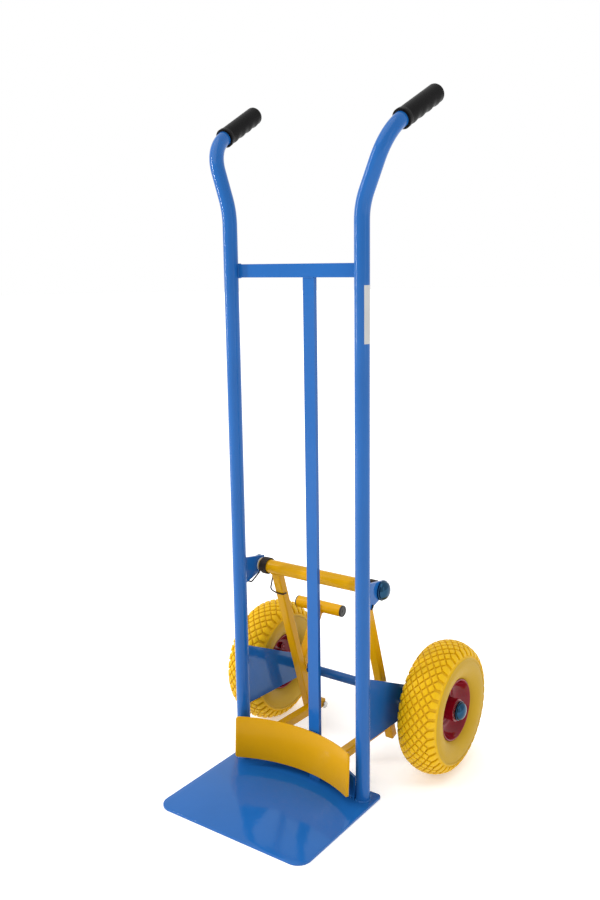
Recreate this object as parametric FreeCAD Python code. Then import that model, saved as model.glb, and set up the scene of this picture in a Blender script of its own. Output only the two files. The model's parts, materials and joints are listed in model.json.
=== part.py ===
import FreeCAD, Part
import math
import os

# Two-wheeled hand truck with a pusher that swings forward over the toe plate.
# Millimetres. +X to the right, +Y to the rear, +Z up. The origin is on the floor, in the middle of
# the outline. "behind" means a distance rearwards from the plane of the uprights' straight tubes.

# ---- frame tubes ----
UPRIGHT_SPACING = 283.0
UPRIGHT_OD = 26.9
UPRIGHT_WALL = 2.0
KNEE_Z = 1083.5
KNEE_RADIUS = 135.0
ELBOW_Z = 1198.7
ELBOW_OUT = 43.3
ELBOW_BEHIND = 7.5
ELBOW_RADIUS = 80.0
HANDLE_RISE_DEG = 26.8
HANDLE_SPLAY_DEG = 4.7
GRIP_START = 44.5
GRIP_LENGTH = 121.0
GRIP_OD = 33.5
GRIP_COLLAR_OD = 35.5
GRIP_COLLAR_LENGTH = 9.0
GRIP_END_WALL = 5.0
GRIP_END_ROUND = 8.0

# ---- flat bars and plates ----
BAR_THICKNESS = 8.0
BAR_WIDTH = 24.0
BAR_FRONT_BEHIND = 6.0
CROSS_BAR_Z = 977.6
MIDDLE_BAR_X = 27.4
TOE_WIDTH = 331.0
TOE_FRONT_REACH = 231.4
TOE_REAR_REACH = 30.3
TOE_THICKNESS = 5.0
TOE_FRONT_ROUND = 27.0
TOE_REAR_ROUND = 9.0
HEEL_SAG = 36.4584
HEEL_THICKNESS = 5.0
HEEL_HEIGHT = 46.0
HEEL_END_INSET = 11.5
HEEL_MIDDLE_BEHIND = 23.5

# ---- wheels and axle ----
WHEEL_OD = 262.0
WHEEL_WIDTH = 84.0
TYRE_TO_PLATE = 21.4
TYRE_CROWN_HALF = 29.0
TYRE_CROWN_DROP = 8.5
TYRE_BELLY_DEPTH = 38.0
TYRE_WALL_CURVE = 60.0
TYRE_WALL_UP = 14.0
TYRE_WALL_DOWN = 26.0
AXLE_BEHIND = 191.0
AXLE_OD = 20.0
RUNNING_CLEARANCE = 0.05
END_PLAY = 0.5
RIM_LIP_OD = 122.0
RIM_BARREL_OD = 96.0
RIM_LIP_OUT = 28.0
RIM_WELL_OUT = 9.0
RIM_SHEET = 2.5
RIM_CORNER_ROUND = 6.0
BEAD_CLEARANCE = 0.5
HUB_LENGTH = 65.0
HUB_WALL = 3.5
BEARING_OD = 37.0
BEARING_WIDTH = 9.0
BEARING_RECESS = 1.5
RIM_BOLT_CIRCLE = 62.0
RIM_BOLT_OD = 8.0
RIM_BOLT_COUNT = 4
BOLT_CLEARANCE = 0.25
SPACER_OD = 28.0
WASHER_THICKNESS = 2.5

# ---- side plates and pivot brackets ----
PLATE_THICKNESS = 5.0
SIDE_PLATE_TOP_Z = 246.5
SIDE_PLATE_BOTTOM_Z = 115.0
SIDE_PLATE_TAIL = 24.0
SIDE_PLATE_TAIL_RISE = 14.4
SIDE_PLATE_TAIL_DROP = 27.0
SIDE_PLATE_ROUND = 14.0
PIVOT_BEHIND = 64.5
PIVOT_Z = 396.0
BRACKET_TOP_RISE = 29.0
BRACKET_TAIL = 12.0
BRACKET_TAIL_RISE = 16.0
BRACKET_TAIL_DROP = 15.0
BRACKET_HEEL = 9.0
BRACKET_FOOT_DROP = 31.0
CAP_OD = 38.0
CAP_HEIGHT = 14.0
CAP_WALL = 5.0
CAP_RIM_HEIGHT = 3.0

# ---- pusher ----
PIVOT_TUBE_OD = 26.9
PIVOT_TUBE_WALL = 2.0
BUSH_LENGTH = 22.0
BUSH_FLANGE = 3.0
SQUARE = 18.0
SQUARE_WALL = 1.5
SQUARE_ROUND = 2.5
ARM_X = 100.5
ARM_LEAN_DEG = 17.5
ARM_LENGTH = 368.5
PUSH_BAR_FRONT_Z = 66.5
PUSH_BAR_DROP_DEG = 2.3
PUSH_BAR_TAIL_FROM_BOLT = 5.0
PUSHER_RADIUS = 255.0
PUSHER_THICKNESS = 4.0
PUSHER_HEIGHT = 85.0
PUSHER_HALF_WIDTH = 134.5
PUSHER_MIDDLE_BEHIND = -1.0
PUSHER_MIDDLE_Z = 63.0
PUSHER_LEAN_DEG = 3.6
PUSHER_CORNER_ROUND = 6.0
BOLT_FROM_ARM = 11.1723
BOLT_BELOW = 3.0
BOLT_OD = 8.0
BOLT_HEAD_ACROSS = 13.0
BOLT_HEAD_HEIGHT = 5.3
BOLT_NUT_HEIGHT = 6.5

# ---- pedal ----
PEDAL_BEHIND = 218.0
PEDAL_Z = 266.0
PEDAL_LENGTH = 118.0
PEDAL_OD = 25.0
PEDAL_WALL = 2.0
PEDAL_CAP_HEAD = 3.5
PEDAL_CAP_PLUG = 12.0
STEM_LEAN_DEG = 31.5
STEM_AHEAD = 6.0

# ---- springs ----
WIRE = 3.0
COIL_GAP = 0.4
COIL_PITCH = 3.3
COIL_FULL_TURNS = 4
COIL_START_DEG = -116.0
COIL_END_DEG = 95.0
COIL_FROM_ARM = 6.0
HOOK_BEHIND = 27.0
LEG_DOWN_ARM = 55.5

# ---- label ----
LABEL_HEIGHT = 98.0
LABEL_Z = 904.0
LABEL_HALF_ANGLE_DEG = 43.0
LABEL_THICKNESS = 0.2

# ---- places worked out from the sizes above ----
WHEEL_RADIUS = WHEEL_OD / 2
AXLE_Z = WHEEL_RADIUS
UPRIGHT_X = UPRIGHT_SPACING / 2
UPRIGHT_RADIUS = UPRIGHT_OD / 2
UPRIGHT_Y = (TOE_FRONT_REACH - AXLE_BEHIND - WHEEL_RADIUS) / 2
AXLE_Y = UPRIGHT_Y + AXLE_BEHIND
PIVOT_Y = UPRIGHT_Y + PIVOT_BEHIND
PLATE_INNER_X = UPRIGHT_X - PLATE_THICKNESS / 2
PLATE_OUTER_X = UPRIGHT_X + PLATE_THICKNESS / 2
WHEEL_X = PLATE_OUTER_X + TYRE_TO_PLATE + WHEEL_WIDTH / 2
HEEL_HALF_WIDTH = UPRIGHT_X - HEEL_END_INSET
HEEL_RADIUS = (HEEL_HALF_WIDTH ** 2 + HEEL_SAG ** 2) / (2 * HEEL_SAG)
PIVOT_TUBE_ID = PIVOT_TUBE_OD - 2 * PIVOT_TUBE_WALL
ARM_INNER_X = ARM_X - SQUARE / 2
PEDAL_X = -ARM_X
PUSH_BAR_X = ARM_INNER_X - SQUARE / 2
ARM_LEAN = math.radians(ARM_LEAN_DEG)
ARM_REAR_BEHIND = (PIVOT_BEHIND + (PIVOT_Z - PUSH_BAR_FRONT_Z) * math.tan(ARM_LEAN)
                   + SQUARE / 2 / math.cos(ARM_LEAN))
BOLT_BEHIND = ARM_REAR_BEHIND + BOLT_FROM_ARM
PUSH_BAR_TAIL_BEHIND = BOLT_BEHIND + PUSH_BAR_TAIL_FROM_BOLT
HUB_OD = BEARING_OD + 2 * HUB_WALL
SHAFT_BORE = AXLE_OD + 2 * RUNNING_CLEARANCE

X_AXIS = FreeCAD.Vector(1, 0, 0)
Z_AXIS = FreeCAD.Vector(0, 0, 1)
SIDES = {"left": -1, "right": 1}


# ---- small makers ----

def vec(x, y, z):
    return FreeCAD.Vector(x, y, z)


def box(x0, x1, y0, y1, z0, z1):
    return Part.makeBox(x1 - x0, y1 - y0, z1 - z0, vec(x0, y0, z0))


def rod(start, direction, length, diameter):
    return Part.makeCylinder(diameter / 2, length, start, direction)


def ring(start, direction, length, outer, inner):
    reach = FreeCAD.Vector(direction).normalize() * 1.0
    hole = rod(start - reach, direction, length + 2, inner)
    return rod(start, direction, length, outer).cut(hole)


def along_x(x0, x1, y, z, outer, inner=None):
    start = vec(min(x0, x1), y, z)
    if inner is None:
        return rod(start, X_AXIS, abs(x1 - x0), outer)
    return ring(start, X_AXIS, abs(x1 - x0), outer, inner)


def group(solids):
    return Part.makeCompound(solids)


def plate_yz(points, x_middle, thickness):
    """A flat plate square to X, from its outline's (y, z) corners."""
    corners = [vec(x_middle - thickness / 2, y, z) for y, z in points]
    wire = Part.makePolygon(corners + corners[:1])
    return Part.Face(wire).extrude(vec(thickness, 0, 0))


def round_edges_along(shape, axis, radius, chosen):
    """Fillets the straight edges that run along axis and whose middle is chosen."""
    edges = []
    for edge in shape.Edges:
        if not isinstance(edge.Curve, Part.Line):
            continue
        if abs(edge.tangentAt(edge.FirstParameter).dot(axis)) > 0.999 and chosen(edge.CenterOfMass):
            edges.append(edge)
    return shape.makeFillet(radius, edges)


def square_bar(start, direction, length, x_size, depth, corner):
    """A rectangular bar of x_size along X, from start along a direction that is square to X."""
    bar = Part.makeBox(x_size, depth, length, vec(-x_size / 2, -depth / 2, 0))
    bar = round_edges_along(bar, Z_AXIS, corner, lambda middle: True)
    bar.rotate(vec(0, 0, 0), X_AXIS, math.degrees(math.atan2(-direction.y, direction.z)))
    bar.translate(start)
    return bar


def square_tube(start, direction, length, x_size, depth, wall, corner):
    """A rectangular tube, placed like square_bar."""
    inside = square_bar(start, direction, length, x_size - 2 * wall, depth - 2 * wall, corner - wall)
    return square_bar(start, direction, length, x_size, depth, corner).cut(inside)


def hexagon(start, direction, across, height):
    radius = across / math.sqrt(3)
    corners = [vec(radius * math.cos(math.radians(60 * i)), radius * math.sin(math.radians(60 * i)), 0)
               for i in range(7)]
    prism = Part.Face(Part.makePolygon(corners)).extrude(vec(0, 0, height))
    prism.Placement = FreeCAD.Placement(start, FreeCAD.Rotation(Z_AXIS, direction))
    return prism


def swept(path_edges, diameter, start, direction):
    wire = Part.Wire(path_edges)
    circle = Part.Wire([Part.makeCircle(diameter / 2, start, direction)])
    return wire.makePipeShell([circle], True, False)


def revolved_about_x(edges, y, z):
    """Turns a closed outline of edges, drawn as (x, radius) in the XY plane, round an X axis."""
    face = Part.Face(Part.Wire(Part.sortEdges(edges)[0]))
    solid = face.revolve(vec(0, 0, 0), X_AXIS, 360)
    solid.translate(vec(0, y, z))
    return solid


def mirrored(shape):
    return shape.mirror(vec(0, 0, 0), X_AXIS)


# ---- frame ----

def handle_direction(side):
    rise, splay = math.radians(HANDLE_RISE_DEG), math.radians(HANDLE_SPLAY_DEG)
    return vec(side * math.cos(rise) * math.sin(splay), math.cos(rise) * math.cos(splay), math.sin(rise))


def elbow_point(side):
    return vec(side * (UPRIGHT_X + ELBOW_OUT), UPRIGHT_Y + ELBOW_BEHIND, ELBOW_Z)


def tangent_arc(before, corner, after, radius):
    """The arc that rounds a corner, as its first point, its middle point and its last point."""
    back = (before - corner).normalize()
    ahead = (after - corner).normalize()
    half = back.getAngle(ahead) / 2
    reach = radius / math.tan(half)
    inwards = (back + ahead).normalize()
    middle = corner + inwards * (radius / math.sin(half) - radius)
    return corner + back * reach, middle, corner + ahead * reach


def upright(side):
    foot = vec(side * UPRIGHT_X, UPRIGHT_Y, TOE_THICKNESS)
    knee = vec(side * UPRIGHT_X, UPRIGHT_Y, KNEE_Z)
    elbow = elbow_point(side)
    end = elbow + handle_direction(side) * (GRIP_START + GRIP_LENGTH - GRIP_END_WALL)
    knee_in, knee_middle, knee_out = tangent_arc(foot, knee, elbow, KNEE_RADIUS)
    elbow_in, elbow_middle, elbow_out = tangent_arc(knee, elbow, end, ELBOW_RADIUS)
    path = [
        Part.LineSegment(foot, knee_in).toShape(),
        Part.Arc(knee_in, knee_middle, knee_out).toShape(),
        Part.LineSegment(knee_out, elbow_in).toShape(),
        Part.Arc(elbow_in, elbow_middle, elbow_out).toShape(),
        Part.LineSegment(elbow_out, end).toShape(),
    ]
    outer = swept(path, UPRIGHT_OD, foot, Z_AXIS)
    inner = swept(path, UPRIGHT_OD - 2 * UPRIGHT_WALL, foot, Z_AXIS)
    return outer.cut(inner)


def grip(side):
    direction = handle_direction(side)
    start = elbow_point(side) + direction * GRIP_START
    body = rod(start, direction, GRIP_LENGTH, GRIP_OD)
    far = start + direction * GRIP_LENGTH
    body = body.makeFillet(GRIP_END_ROUND, [e for e in body.Edges if closed_near(e, far)])
    collar = rod(start, direction, GRIP_COLLAR_LENGTH, GRIP_COLLAR_OD)
    bore = rod(start - direction, direction, GRIP_LENGTH - GRIP_END_WALL + 1, UPRIGHT_OD)
    return body.fuse(collar).removeSplitter().cut(bore)


def closed_near(edge, point):
    return edge.isClosed() and (edge.CenterOfMass - point).Length < 1.0


def upright_core(side):
    return rod(vec(side * UPRIGHT_X, UPRIGHT_Y, 0), Z_AXIS, KNEE_Z, UPRIGHT_OD)


def between_uprights(shape):
    return shape.cut(upright_core(-1)).cut(upright_core(1))


def cross_bar():
    front = UPRIGHT_Y + BAR_FRONT_BEHIND
    reach = UPRIGHT_X - math.sqrt(UPRIGHT_RADIUS ** 2 - (BAR_FRONT_BEHIND + BAR_THICKNESS / 2) ** 2) + 1
    bar = box(-reach, reach, front, front + BAR_THICKNESS,
              CROSS_BAR_Z - BAR_WIDTH / 2, CROSS_BAR_Z + BAR_WIDTH / 2)
    return between_uprights(bar)


def middle_bar():
    front = UPRIGHT_Y + BAR_FRONT_BEHIND
    return box(MIDDLE_BAR_X - BAR_WIDTH / 2, MIDDLE_BAR_X + BAR_WIDTH / 2, front, front + BAR_THICKNESS,
               TOE_THICKNESS, CROSS_BAR_Z - BAR_WIDTH / 2)


def heel_plate():
    centre = vec(0, UPRIGHT_Y + HEEL_MIDDLE_BEHIND - HEEL_RADIUS, TOE_THICKNESS)
    curved = ring(centre, Z_AXIS, HEEL_HEIGHT, 2 * (HEEL_RADIUS + HEEL_THICKNESS), 2 * HEEL_RADIUS)
    kept = box(-HEEL_HALF_WIDTH, HEEL_HALF_WIDTH, centre.y, centre.y + HEEL_RADIUS + HEEL_THICKNESS + 1,
               TOE_THICKNESS, TOE_THICKNESS + HEEL_HEIGHT)
    return between_uprights(curved.common(kept))


def toe_plate():
    front, rear = UPRIGHT_Y - TOE_FRONT_REACH, UPRIGHT_Y + TOE_REAR_REACH
    plate = box(-TOE_WIDTH / 2, TOE_WIDTH / 2, front, rear, 0, TOE_THICKNESS)
    plate = round_edges_along(plate, Z_AXIS, TOE_FRONT_ROUND, lambda middle: middle.y < UPRIGHT_Y)
    return round_edges_along(plate, Z_AXIS, TOE_REAR_ROUND,
                             lambda middle: abs(middle.y - rear) < 1 and abs(middle.x) > TOE_WIDTH / 2 - 1)


def side_plate(side):
    tail_y = AXLE_Y + SIDE_PLATE_TAIL
    outline = [
        (UPRIGHT_Y, SIDE_PLATE_TOP_Z),
        (tail_y, AXLE_Z + SIDE_PLATE_TAIL_RISE),
        (tail_y, AXLE_Z - SIDE_PLATE_TAIL_DROP),
        (UPRIGHT_Y, SIDE_PLATE_BOTTOM_Z),
    ]
    plate = plate_yz(outline, side * UPRIGHT_X, PLATE_THICKNESS)
    plate = round_edges_along(plate, X_AXIS, SIDE_PLATE_ROUND, lambda middle: middle.y > AXLE_Y)
    hole = along_x(-WHEEL_X, WHEEL_X, AXLE_Y, AXLE_Z, AXLE_OD)
    return plate.cut(upright_core(side)).cut(hole)


def pivot_bracket(side):
    tail_y = PIVOT_Y + BRACKET_TAIL
    outline = [
        (UPRIGHT_Y, PIVOT_Z + BRACKET_TOP_RISE),
        (tail_y, PIVOT_Z + BRACKET_TAIL_RISE),
        (tail_y, PIVOT_Z - BRACKET_TAIL_DROP),
        (PIVOT_Y - BRACKET_HEEL, PIVOT_Z - BRACKET_TAIL_DROP),
        (UPRIGHT_Y, PIVOT_Z - BRACKET_FOOT_DROP),
    ]
    plate = plate_yz(outline, side * UPRIGHT_X, PLATE_THICKNESS)
    hole = along_x(-WHEEL_X, WHEEL_X, PIVOT_Y, PIVOT_Z, AXLE_OD)
    return plate.cut(upright_core(side)).cut(hole)


def domed_cap(side, x_seat, y, z):
    """A domed push-on cap: its rim sits on x_seat and its blind bore takes the shaft's end."""
    rise = CAP_HEIGHT - CAP_RIM_HEIGHT
    ball_radius = ((CAP_OD / 2) ** 2 + rise ** 2) / (2 * rise)
    ball = Part.makeSphere(ball_radius, vec(x_seat + CAP_HEIGHT - ball_radius, y, z))
    body = along_x(x_seat, x_seat + CAP_HEIGHT, y, z, CAP_OD).common(ball)
    cap = body.cut(along_x(x_seat - 1, x_seat + CAP_HEIGHT - CAP_WALL, y, z, AXLE_OD))
    return mirrored(cap) if side < 0 else cap


def shaft(x_seat, y, z):
    """A shaft whose two ends stop inside the caps that sit at x_seat on each side."""
    half = x_seat + CAP_HEIGHT - CAP_WALL
    return along_x(-half, half, y, z, AXLE_OD)


def label():
    low = LABEL_Z - LABEL_HEIGHT / 2
    start = vec(UPRIGHT_X, UPRIGHT_Y, low)
    skin = ring(start, Z_AXIS, LABEL_HEIGHT, UPRIGHT_OD + 2 * LABEL_THICKNESS, UPRIGHT_OD)
    reach = UPRIGHT_OD
    spread = reach * math.tan(math.radians(LABEL_HALF_ANGLE_DEG))
    corners = [start, start + vec(reach, -spread, 0), start + vec(reach, spread, 0), start]
    wedge = Part.Face(Part.makePolygon(corners)).extrude(vec(0, 0, LABEL_HEIGHT))
    return skin.common(wedge)


# ---- wheels ----

def wheel_sides():
    """How far the hub's two ends, the spacer and the washer stand from the middle plane, along X."""
    hub_in = WHEEL_X - HUB_LENGTH / 2
    hub_out = WHEEL_X + HUB_LENGTH / 2
    return hub_in, hub_out, hub_out + END_PLAY + WASHER_THICKNESS


def outline_edges(pieces):
    """Edges from a list of points, where three points in one entry make an arc."""
    edges = []
    for piece in pieces:
        points = [vec(x, r, 0) for x, r in piece]
        maker = Part.LineSegment if len(points) == 2 else Part.Arc
        edges.append(maker(*points).toShape())
    return edges


def tyre(side):
    """A solid foam tyre. Its section is drawn as (x, radius) from the wheel's middle plane."""
    half, top = WHEEL_WIDTH / 2, WHEEL_RADIUS
    seat, lip = RIM_BARREL_OD / 2, RIM_LIP_OD / 2
    belly = TYRE_WALL_CURVE
    wall_top_x = half - belly + math.sqrt(belly ** 2 - TYRE_WALL_UP ** 2)
    wall_foot_x = half - belly + math.sqrt(belly ** 2 - TYRE_WALL_DOWN ** 2)
    belly_r = top - TYRE_BELLY_DEPTH
    pieces = [
        [(-TYRE_CROWN_HALF, top - TYRE_CROWN_DROP), (0, top), (TYRE_CROWN_HALF, top - TYRE_CROWN_DROP)],
        [(-RIM_WELL_OUT, seat), (RIM_WELL_OUT, seat)],
    ]
    for s in SIDES.values():
        crown = (s * TYRE_CROWN_HALF, top - TYRE_CROWN_DROP)
        wall_top = (s * wall_top_x, belly_r + TYRE_WALL_UP)
        wall_foot = (s * wall_foot_x, belly_r - TYRE_WALL_DOWN)
        bead = (s * RIM_LIP_OUT, lip + BEAD_CLEARANCE)
        shoulder = (s * ((TYRE_CROWN_HALF + wall_top_x) / 2 + 1.6), (crown[1] + wall_top[1]) / 2 + 1.2)
        pieces += [
            [crown, shoulder, wall_top],
            [wall_top, (s * half, belly_r), wall_foot],
            [wall_foot, bead],
            [bead, (s * RIM_WELL_OUT, seat)],
        ]
    solid = revolved_about_x(outline_edges(pieces), AXLE_Y, AXLE_Z)
    solid.translate(vec(side * WHEEL_X, 0, 0))
    return solid


def rim_half(side, face):
    """One pressed half of the rim. face is +1 for the half on the outer side of the wheel."""
    barrel, lip = RIM_BARREL_OD / 2, RIM_LIP_OD / 2
    hub = HUB_OD / 2
    inner = barrel - RIM_SHEET
    lip_out = RIM_LIP_OUT + RIM_SHEET
    roll = RIM_SHEET / 2
    corner = RIM_CORNER_ROUND
    slope = vec(RIM_LIP_OUT - RIM_WELL_OUT, lip - roll - barrel, 0).normalize()
    cone_foot = (RIM_WELL_OUT + slope.y * RIM_SHEET, barrel - slope.x * RIM_SHEET)
    cone_top = (RIM_LIP_OUT + slope.y * RIM_SHEET, lip - roll - slope.x * RIM_SHEET)
    pieces = [
        [(0, hub), (0, barrel)],
        [(0, barrel), (RIM_WELL_OUT, barrel)],
        [(RIM_WELL_OUT, barrel), (RIM_LIP_OUT, lip - roll)],
        [(RIM_LIP_OUT, lip - roll), (RIM_LIP_OUT + roll, lip), (lip_out, lip - roll)],
        [(lip_out, lip - roll), cone_top],
        [cone_top, cone_foot],
        [cone_foot, (RIM_SHEET + corner, inner)],
        [(RIM_SHEET + corner, inner), (RIM_SHEET + corner * 0.29, inner - corner * 0.29),
         (RIM_SHEET, inner - corner)],
        [(RIM_SHEET, inner - corner), (RIM_SHEET, hub)],
        [(RIM_SHEET, hub), (0, hub)],
    ]
    half = revolved_about_x(outline_edges(pieces), AXLE_Y, AXLE_Z)
    if face * side < 0:
        half = mirrored(half)
    half.translate(vec(side * WHEEL_X, 0, 0))
    for y, z in rim_bolt_places():
        half = half.cut(along_x(-WHEEL_X - WHEEL_WIDTH, WHEEL_X + WHEEL_WIDTH, y, z,
                                RIM_BOLT_OD + 2 * BOLT_CLEARANCE))
    return half


def rim_bolt_places():
    turns = [2 * math.pi * (i + 0.5) / RIM_BOLT_COUNT for i in range(RIM_BOLT_COUNT)]
    radius = RIM_BOLT_CIRCLE / 2
    return [(AXLE_Y + radius * math.cos(t), AXLE_Z + radius * math.sin(t)) for t in turns]


def hub(side):
    low = side * WHEEL_X - HUB_LENGTH / 2
    high = low + HUB_LENGTH
    pocket = BEARING_WIDTH + BEARING_RECESS
    body = along_x(low, high, AXLE_Y, AXLE_Z, HUB_OD, BEARING_OD - 5)
    for start, end in ((low - 1, low + pocket), (high - pocket, high + 1)):
        body = body.cut(along_x(start, end, AXLE_Y, AXLE_Z, BEARING_OD))
    return body


def bearings(side):
    low = side * WHEEL_X - HUB_LENGTH / 2 + BEARING_RECESS
    high = side * WHEEL_X + HUB_LENGTH / 2 - BEARING_RECESS - BEARING_WIDTH
    return group([along_x(x, x + BEARING_WIDTH, AXLE_Y, AXLE_Z, BEARING_OD, SHAFT_BORE) for x in (low, high)])


def rim_bolts(side):
    """Hexagon bolts with their heads on the wheel's outer side."""
    bolts = []
    outwards = X_AXIS * side
    for y, z in rim_bolt_places():
        seat = vec(side * (WHEEL_X + RIM_SHEET), y, z)
        shank_length = 2 * RIM_SHEET + BOLT_NUT_HEIGHT + 1.5
        head = hexagon(seat, outwards, BOLT_HEAD_ACROSS, BOLT_HEAD_HEIGHT)
        shank = rod(seat - outwards * shank_length, outwards, shank_length, RIM_BOLT_OD)
        bolts.append(head.fuse(shank))
    return group(bolts)


def rim_nuts(side):
    nuts = []
    inwards = X_AXIS * -side
    for y, z in rim_bolt_places():
        seat = vec(side * (WHEEL_X - RIM_SHEET), y, z)
        nut = hexagon(seat, inwards, BOLT_HEAD_ACROSS, BOLT_NUT_HEIGHT)
        nuts.append(nut.cut(rod(seat - inwards, inwards, BOLT_NUT_HEIGHT + 2, RIM_BOLT_OD)))
    return group(nuts)


def wheel_spacers():
    hub_in = wheel_sides()[0]
    return group([along_x(s * PLATE_OUTER_X, s * (hub_in - END_PLAY), AXLE_Y, AXLE_Z, SPACER_OD, AXLE_OD)
                  for s in SIDES.values()])


def outer_washers():
    outer = wheel_sides()[2]
    return group([along_x(s * (outer - WASHER_THICKNESS), s * outer, AXLE_Y, AXLE_Z, CAP_OD, AXLE_OD)
                  for s in SIDES.values()])


# ---- pusher ----

def arm_direction():
    lean = math.radians(ARM_LEAN_DEG)
    return vec(0, math.sin(lean), -math.cos(lean))


def pivot_tube_half():
    return PLATE_INNER_X - END_PLAY - BUSH_FLANGE


def pivot_tube():
    half = pivot_tube_half()
    return along_x(-half, half, PIVOT_Y, PIVOT_Z, PIVOT_TUBE_OD, PIVOT_TUBE_ID)


def pivot_bushes():
    bushes = []
    for s in SIDES.values():
        end = pivot_tube_half()
        sleeve = along_x(s * (end - BUSH_LENGTH), s * end, PIVOT_Y, PIVOT_Z, PIVOT_TUBE_ID, SHAFT_BORE)
        flange = along_x(s * end, s * (end + BUSH_FLANGE), PIVOT_Y, PIVOT_Z, PIVOT_TUBE_OD, SHAFT_BORE)
        bushes.append(sleeve.fuse(flange).removeSplitter())
    return group(bushes)


def arm(side):
    start = vec(side * ARM_X, PIVOT_Y, PIVOT_Z)
    tube = square_tube(start, arm_direction(), ARM_LENGTH, SQUARE, SQUARE, SQUARE_WALL, SQUARE_ROUND)
    half = pivot_tube_half()
    return tube.cut(along_x(-half, half, PIVOT_Y, PIVOT_Z, PIVOT_TUBE_OD))


def push_bar_direction():
    drop = math.radians(PUSH_BAR_DROP_DEG)
    return vec(0, math.cos(drop), -math.sin(drop))


def push_bar_point(behind):
    """The push bars' centre line, as (y, z), at a distance behind the uprights."""
    return UPRIGHT_Y + behind, PUSH_BAR_FRONT_Z - (behind - 40) * math.tan(math.radians(PUSH_BAR_DROP_DEG))


def push_bar(side):
    direction = push_bar_direction()
    tail_y, tail_z = push_bar_point(PUSH_BAR_TAIL_BEHIND)
    length = (PUSH_BAR_TAIL_BEHIND + PUSHER_RADIUS / 2) / direction.y
    start = vec(side * PUSH_BAR_X, tail_y, tail_z) - direction * length
    bar = square_tube(start, direction, length, SQUARE, SQUARE, SQUARE_WALL, SQUARE_ROUND)
    return bar.cut(pusher_drum(PUSHER_RADIUS + PUSHER_THICKNESS))


def pusher_drum(radius):
    """The drum that the pusher plate is rolled on, leaning with the plate."""
    drum = rod(vec(0, -PUSHER_RADIUS, -PUSHER_HEIGHT * 1.5), Z_AXIS, PUSHER_HEIGHT * 3, 2 * radius)
    return place_pusher(drum)


def place_pusher(shape):
    shape.rotate(vec(0, 0, 0), X_AXIS, -PUSHER_LEAN_DEG)
    shape.translate(vec(0, UPRIGHT_Y + PUSHER_MIDDLE_BEHIND, PUSHER_MIDDLE_Z))
    return shape


def pusher_plate():
    half = PUSHER_HEIGHT / 2
    outer = PUSHER_RADIUS + PUSHER_THICKNESS
    curved = ring(vec(0, -PUSHER_RADIUS, -half), Z_AXIS, PUSHER_HEIGHT, 2 * outer, 2 * PUSHER_RADIUS)
    blank = box(-PUSHER_HALF_WIDTH, PUSHER_HALF_WIDTH, -PUSHER_RADIUS, PUSHER_THICKNESS + 1, -half, half)
    y_axis = vec(0, 1, 0)
    blank = round_edges_along(blank, y_axis, PUSHER_CORNER_ROUND, lambda middle: True)
    return place_pusher(curved.common(blank))


def bolt_seat(side):
    y, z = push_bar_point(BOLT_BEHIND)
    return vec(side * (PUSH_BAR_X - SQUARE / 2), y, z - BOLT_BELOW)


def bar_bolts():
    bolts = []
    for s in SIDES.values():
        outwards = X_AXIS * s
        head = hexagon(bolt_seat(s), outwards * -1, BOLT_HEAD_ACROSS, BOLT_HEAD_HEIGHT)
        shank = rod(bolt_seat(s), outwards, SQUARE + BOLT_NUT_HEIGHT + 1, BOLT_OD)
        bolts.append(head.fuse(shank))
    return group(bolts)


def bar_nuts():
    nuts = []
    for s in SIDES.values():
        outwards = X_AXIS * s
        seat = bolt_seat(s) + outwards * SQUARE
        nut = hexagon(seat, outwards, BOLT_HEAD_ACROSS, BOLT_NUT_HEIGHT)
        nuts.append(nut.cut(rod(seat - outwards, outwards, BOLT_NUT_HEIGHT + 2, BOLT_OD)))
    return group(nuts)


def drilled_push_bar(side):
    outwards = X_AXIS * side
    hole = rod(bolt_seat(side) - outwards, outwards, SQUARE + 2, BOLT_OD + 2 * BOLT_CLEARANCE)
    return push_bar(side).cut(hole)


# ---- pedal ----

def pedal_y():
    return UPRIGHT_Y + PEDAL_BEHIND


def pedal_bar():
    half = PEDAL_LENGTH / 2 - PEDAL_CAP_HEAD
    return along_x(PEDAL_X - half, PEDAL_X + half, pedal_y(), PEDAL_Z, PEDAL_OD, PEDAL_OD - 2 * PEDAL_WALL)


def pedal_end_caps():
    caps = []
    half = PEDAL_LENGTH / 2
    for s in SIDES.values():
        shoulder = PEDAL_X + s * (half - PEDAL_CAP_HEAD)
        head = along_x(shoulder, PEDAL_X + s * half, pedal_y(), PEDAL_Z, PEDAL_OD)
        head = head.makeFillet(2.0, [e for e in head.Edges if closed_near(e, vec(PEDAL_X + s * half,
                                                                                 pedal_y(), PEDAL_Z))])
        plug = along_x(shoulder - s * PEDAL_CAP_PLUG, shoulder, pedal_y(), PEDAL_Z, PEDAL_OD - 2 * PEDAL_WALL)
        caps.append(head.fuse(plug).removeSplitter())
    return group(caps)


def pedal_stem():
    """A square tube from the pedal's bar to the rear face of the left arm, cut to fit both."""
    lean = math.radians(STEM_LEAN_DEG)
    direction = vec(0, -math.sin(lean), -math.cos(lean))
    start = vec(PEDAL_X, pedal_y() - STEM_AHEAD, PEDAL_Z)
    along_arm = arm_direction()
    to_arm = vec(0, PIVOT_Y, PIVOT_Z) - start
    length = (to_arm.y * along_arm.z - to_arm.z * along_arm.y) / (
        direction.y * along_arm.z - direction.z * along_arm.y)
    stem = square_tube(start, direction, length, SQUARE, SQUARE, SQUARE_WALL, SQUARE_ROUND)
    arm_bar = square_bar(vec(PEDAL_X, PIVOT_Y, PIVOT_Z), along_arm, ARM_LENGTH, SQUARE, SQUARE, SQUARE_ROUND)
    half = PEDAL_LENGTH / 2
    bar = along_x(PEDAL_X - half, PEDAL_X + half, pedal_y(), PEDAL_Z, PEDAL_OD)
    return stem.cut(arm_bar).cut(bar)


# ---- springs ----

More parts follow.
